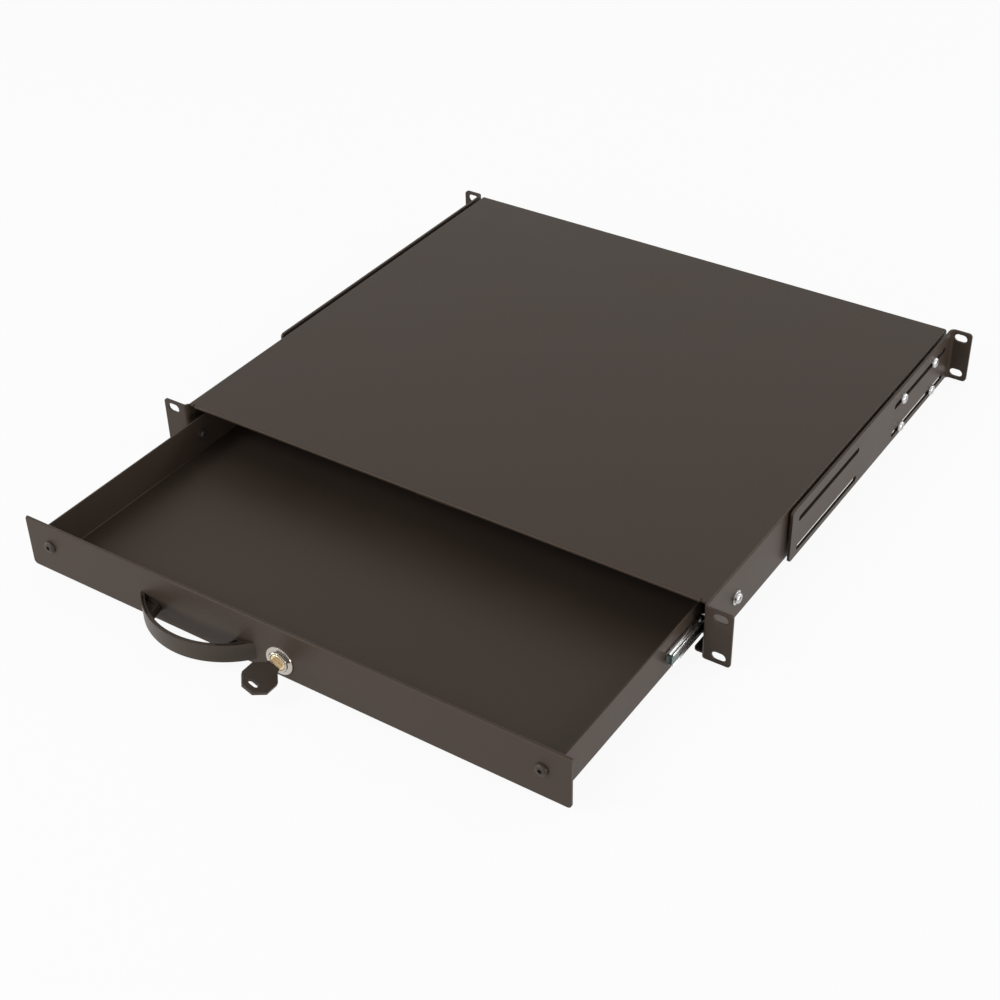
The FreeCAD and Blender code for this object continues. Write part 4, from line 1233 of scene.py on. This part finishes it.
class RACKDRAWER_OT_carried(BuildOperator):
    """Finish the parts that stay as they were built"""
    bl_idname = "rackdrawer.carried"
    bl_label = "Other parts"

    def execute(self, context):
        slots = {s["node"]: s["material_slot"] for s in frame["record"]["subparts"]}
        for name, obj in frame["nodes"].items():
            material = black_oxide if name == "lock_cam" else CARRIED[slots[name]]
            obj.data.materials.clear()
            obj.data.materials.append(material())
        return {"FINISHED"}


# ------------------------------------------------------------ stage
def area_light(name, spot, aim, size, power, colour):
    """Softbox at a spot, facing the point it is aimed at."""
    lamp = bpy.data.lights.new(name, "AREA")
    lamp.shape = "RECTANGLE"
    lamp.size, lamp.size_y = size
    lamp.energy = power
    lamp.color = colour
    obj = bpy.data.objects.new(name, lamp)
    obj.location = spot
    obj.rotation_mode = "QUATERNION"
    obj.rotation_quaternion = (Vector(aim) - Vector(spot)).to_track_quat("-Z", "Y")
    bpy.context.scene.collection.objects.link(obj)


def seen_directly(tree):
    """One for the camera's rays, reflections and rays through glass, nought for the rest."""
    path = tree.nodes.new("ShaderNodeLightPath")
    total = math_node(tree, "MAXIMUM", path.outputs["Is Camera Ray"],
                      path.outputs["Is Transmission Ray"])
    return math_node(tree, "MAXIMUM", total, path.outputs["Is Glossy Ray"])


def white_world():
    """Room that looks white and lights the object less brightly."""
    world = bpy.data.worlds.new("studio")
    bpy.context.scene.world = world
    world.use_nodes = True
    tree = world.node_tree
    back = tree.nodes["Background"]
    span = tree.nodes.new("ShaderNodeMapRange")
    span.inputs["To Min"].default_value = ROOM_LIGHT
    span.inputs["To Max"].default_value = 1.0
    tree.links.new(seen_directly(tree), span.inputs["Value"])
    tree.links.new(span.outputs["Result"], back.inputs["Strength"])
    back.inputs["Color"].default_value = (1.0, 1.0, 1.0, 1.0)


def under_case(tree):
    """One in a box on the floor right under the case, where the floor's glow is left out as
    painted shade, so that only the case's real shadow shows through the gaps.
    """
    coords = tree.nodes.new("ShaderNodeTexCoord")
    split = tree.nodes.new("ShaderNodeSeparateXYZ")
    tree.links.new(coords.outputs["Object"], split.inputs[0])
    middle, half = SHADE_Y
    across = math_node(tree, "ABSOLUTE", split.outputs["X"], 0.0)
    along = math_node(tree, "SUBTRACT", split.outputs["Y"], middle)
    along = math_node(tree, "ABSOLUTE", along, 0.0)
    return math_node(tree, "MULTIPLY", math_node(tree, "LESS_THAN", across, SHADE_X),
                     math_node(tree, "LESS_THAN", along, half))


def pale_floor():
    """Plain floor that looks white and keeps the object's shadow."""
    bm = bmesh.new()
    bmesh.ops.create_grid(bm, x_segments=1, y_segments=1, size=FLOOR_HALF,
                          matrix=Matrix.Translation((0.0, 0.0, BASE - FLOOR_DROP)))
    mesh = bpy.data.meshes.new("floor")
    bm.to_mesh(mesh)
    bm.free()
    floor = bpy.data.objects.new("floor", mesh)
    bpy.context.scene.collection.objects.link(floor)
    material = bpy.data.materials.new("pale_floor")
    material.use_nodes = True
    tree = material.node_tree
    shader = tree.nodes["Principled BSDF"]
    shader.inputs["Base Color"].default_value = (*[FLOOR_GREY] * 3, 1.0)
    shader.inputs["Roughness"].default_value = 0.9
    glow = tree.nodes.new("ShaderNodeEmission")
    glow.inputs["Strength"].default_value = 1.0
    mix = tree.nodes.new("ShaderNodeMixShader")
    # Painted shade: no glow in the box under the case, so the floor there shows only its real
    # shadow
    clear = math_node(tree, "SUBTRACT", 1.0, under_case(tree))
    share = math_node(tree, "MULTIPLY", seen_directly(tree), FLOOR_WHITE)
    share = math_node(tree, "MULTIPLY", share, clear)
    tree.links.new(share, mix.inputs["Fac"])
    tree.links.new(shader.outputs[0], mix.inputs[1])
    tree.links.new(glow.outputs[0], mix.inputs[2])
    tree.links.new(mix.outputs[0], tree.nodes["Material Output"].inputs["Surface"])
    mesh.materials.append(material)


def place_camera():
    """Camera turned round the object, tilted down and rolled."""
    azimuth, elevation, roll = map(math.radians, CAMERA_TURN)
    back = Vector((math.sin(azimuth) * math.cos(elevation),
                   -math.cos(azimuth) * math.cos(elevation), math.sin(elevation)))
    right = Vector((0.0, 0.0, 1.0)).cross(back).normalized()
    up = back.cross(right)
    x = right * math.cos(roll) + up * math.sin(roll)
    y = up * math.cos(roll) - right * math.sin(roll)
    data = bpy.data.cameras.new("camera")
    data.sensor_width = 36.0
    data.lens = LENS
    data.clip_end = 50.0
    obj = bpy.data.objects.new("camera", data)
    turn = Matrix((x, y, back)).transposed().to_4x4()
    obj.matrix_world = Matrix.Translation(Vector(CAMERA_AIM) + back * CAMERA_AWAY) @ turn
    bpy.context.scene.collection.objects.link(obj)
    bpy.context.scene.camera = obj


class RACKDRAWER_OT_stage(BuildOperator):
    """Set the floor, lights and camera"""
    bl_idname = "rackdrawer.stage"
    bl_label = "Stage"

    def execute(self, context):
        context.scene.view_settings.view_transform = "Standard"
        white_world()
        pale_floor()
        for lamp in LAMPS:
            area_light(*lamp)
        place_camera()
        return {"FINISHED"}


class RACKDRAWER_PT_panel(Panel):
    """Sidebar list of the build steps"""
    bl_idname = "RACKDRAWER_PT_panel"
    bl_label = "Rack Drawer"
    bl_space_type = "VIEW_3D"
    bl_region_type = "UI"
    bl_category = "Rack Drawer"

    def draw(self, context):
        settings = context.scene.rack_drawer
        for group in (settings.sheet, settings.finish):
            box = self.layout.box()
            for key in group.__annotations__:
                box.prop(group, key)
        for step in STEPS:
            self.layout.operator(step.bl_idname)


STEPS = (RACKDRAWER_OT_case, RACKDRAWER_OT_brackets, RACKDRAWER_OT_tray, RACKDRAWER_OT_slides,
         RACKDRAWER_OT_screws, RACKDRAWER_OT_handle, RACKDRAWER_OT_lock, RACKDRAWER_OT_carried,
         RACKDRAWER_OT_stage)
CLASSES = (SheetSizes, Finishes, DrawerSettings) + STEPS + (RACKDRAWER_PT_panel,)


def register():
    for item in CLASSES:
        bpy.utils.register_class(item)
    bpy.types.Scene.rack_drawer = PointerProperty(type=DrawerSettings)


def unregister():
    del bpy.types.Scene.rack_drawer
    for item in reversed(CLASSES):
        bpy.utils.unregister_class(item)


def main():
    register()
    for step in STEPS:
        group, name = step.bl_idname.split(".")
        getattr(getattr(bpy.ops, group), name)()


if __name__ == "__main__":
    main()
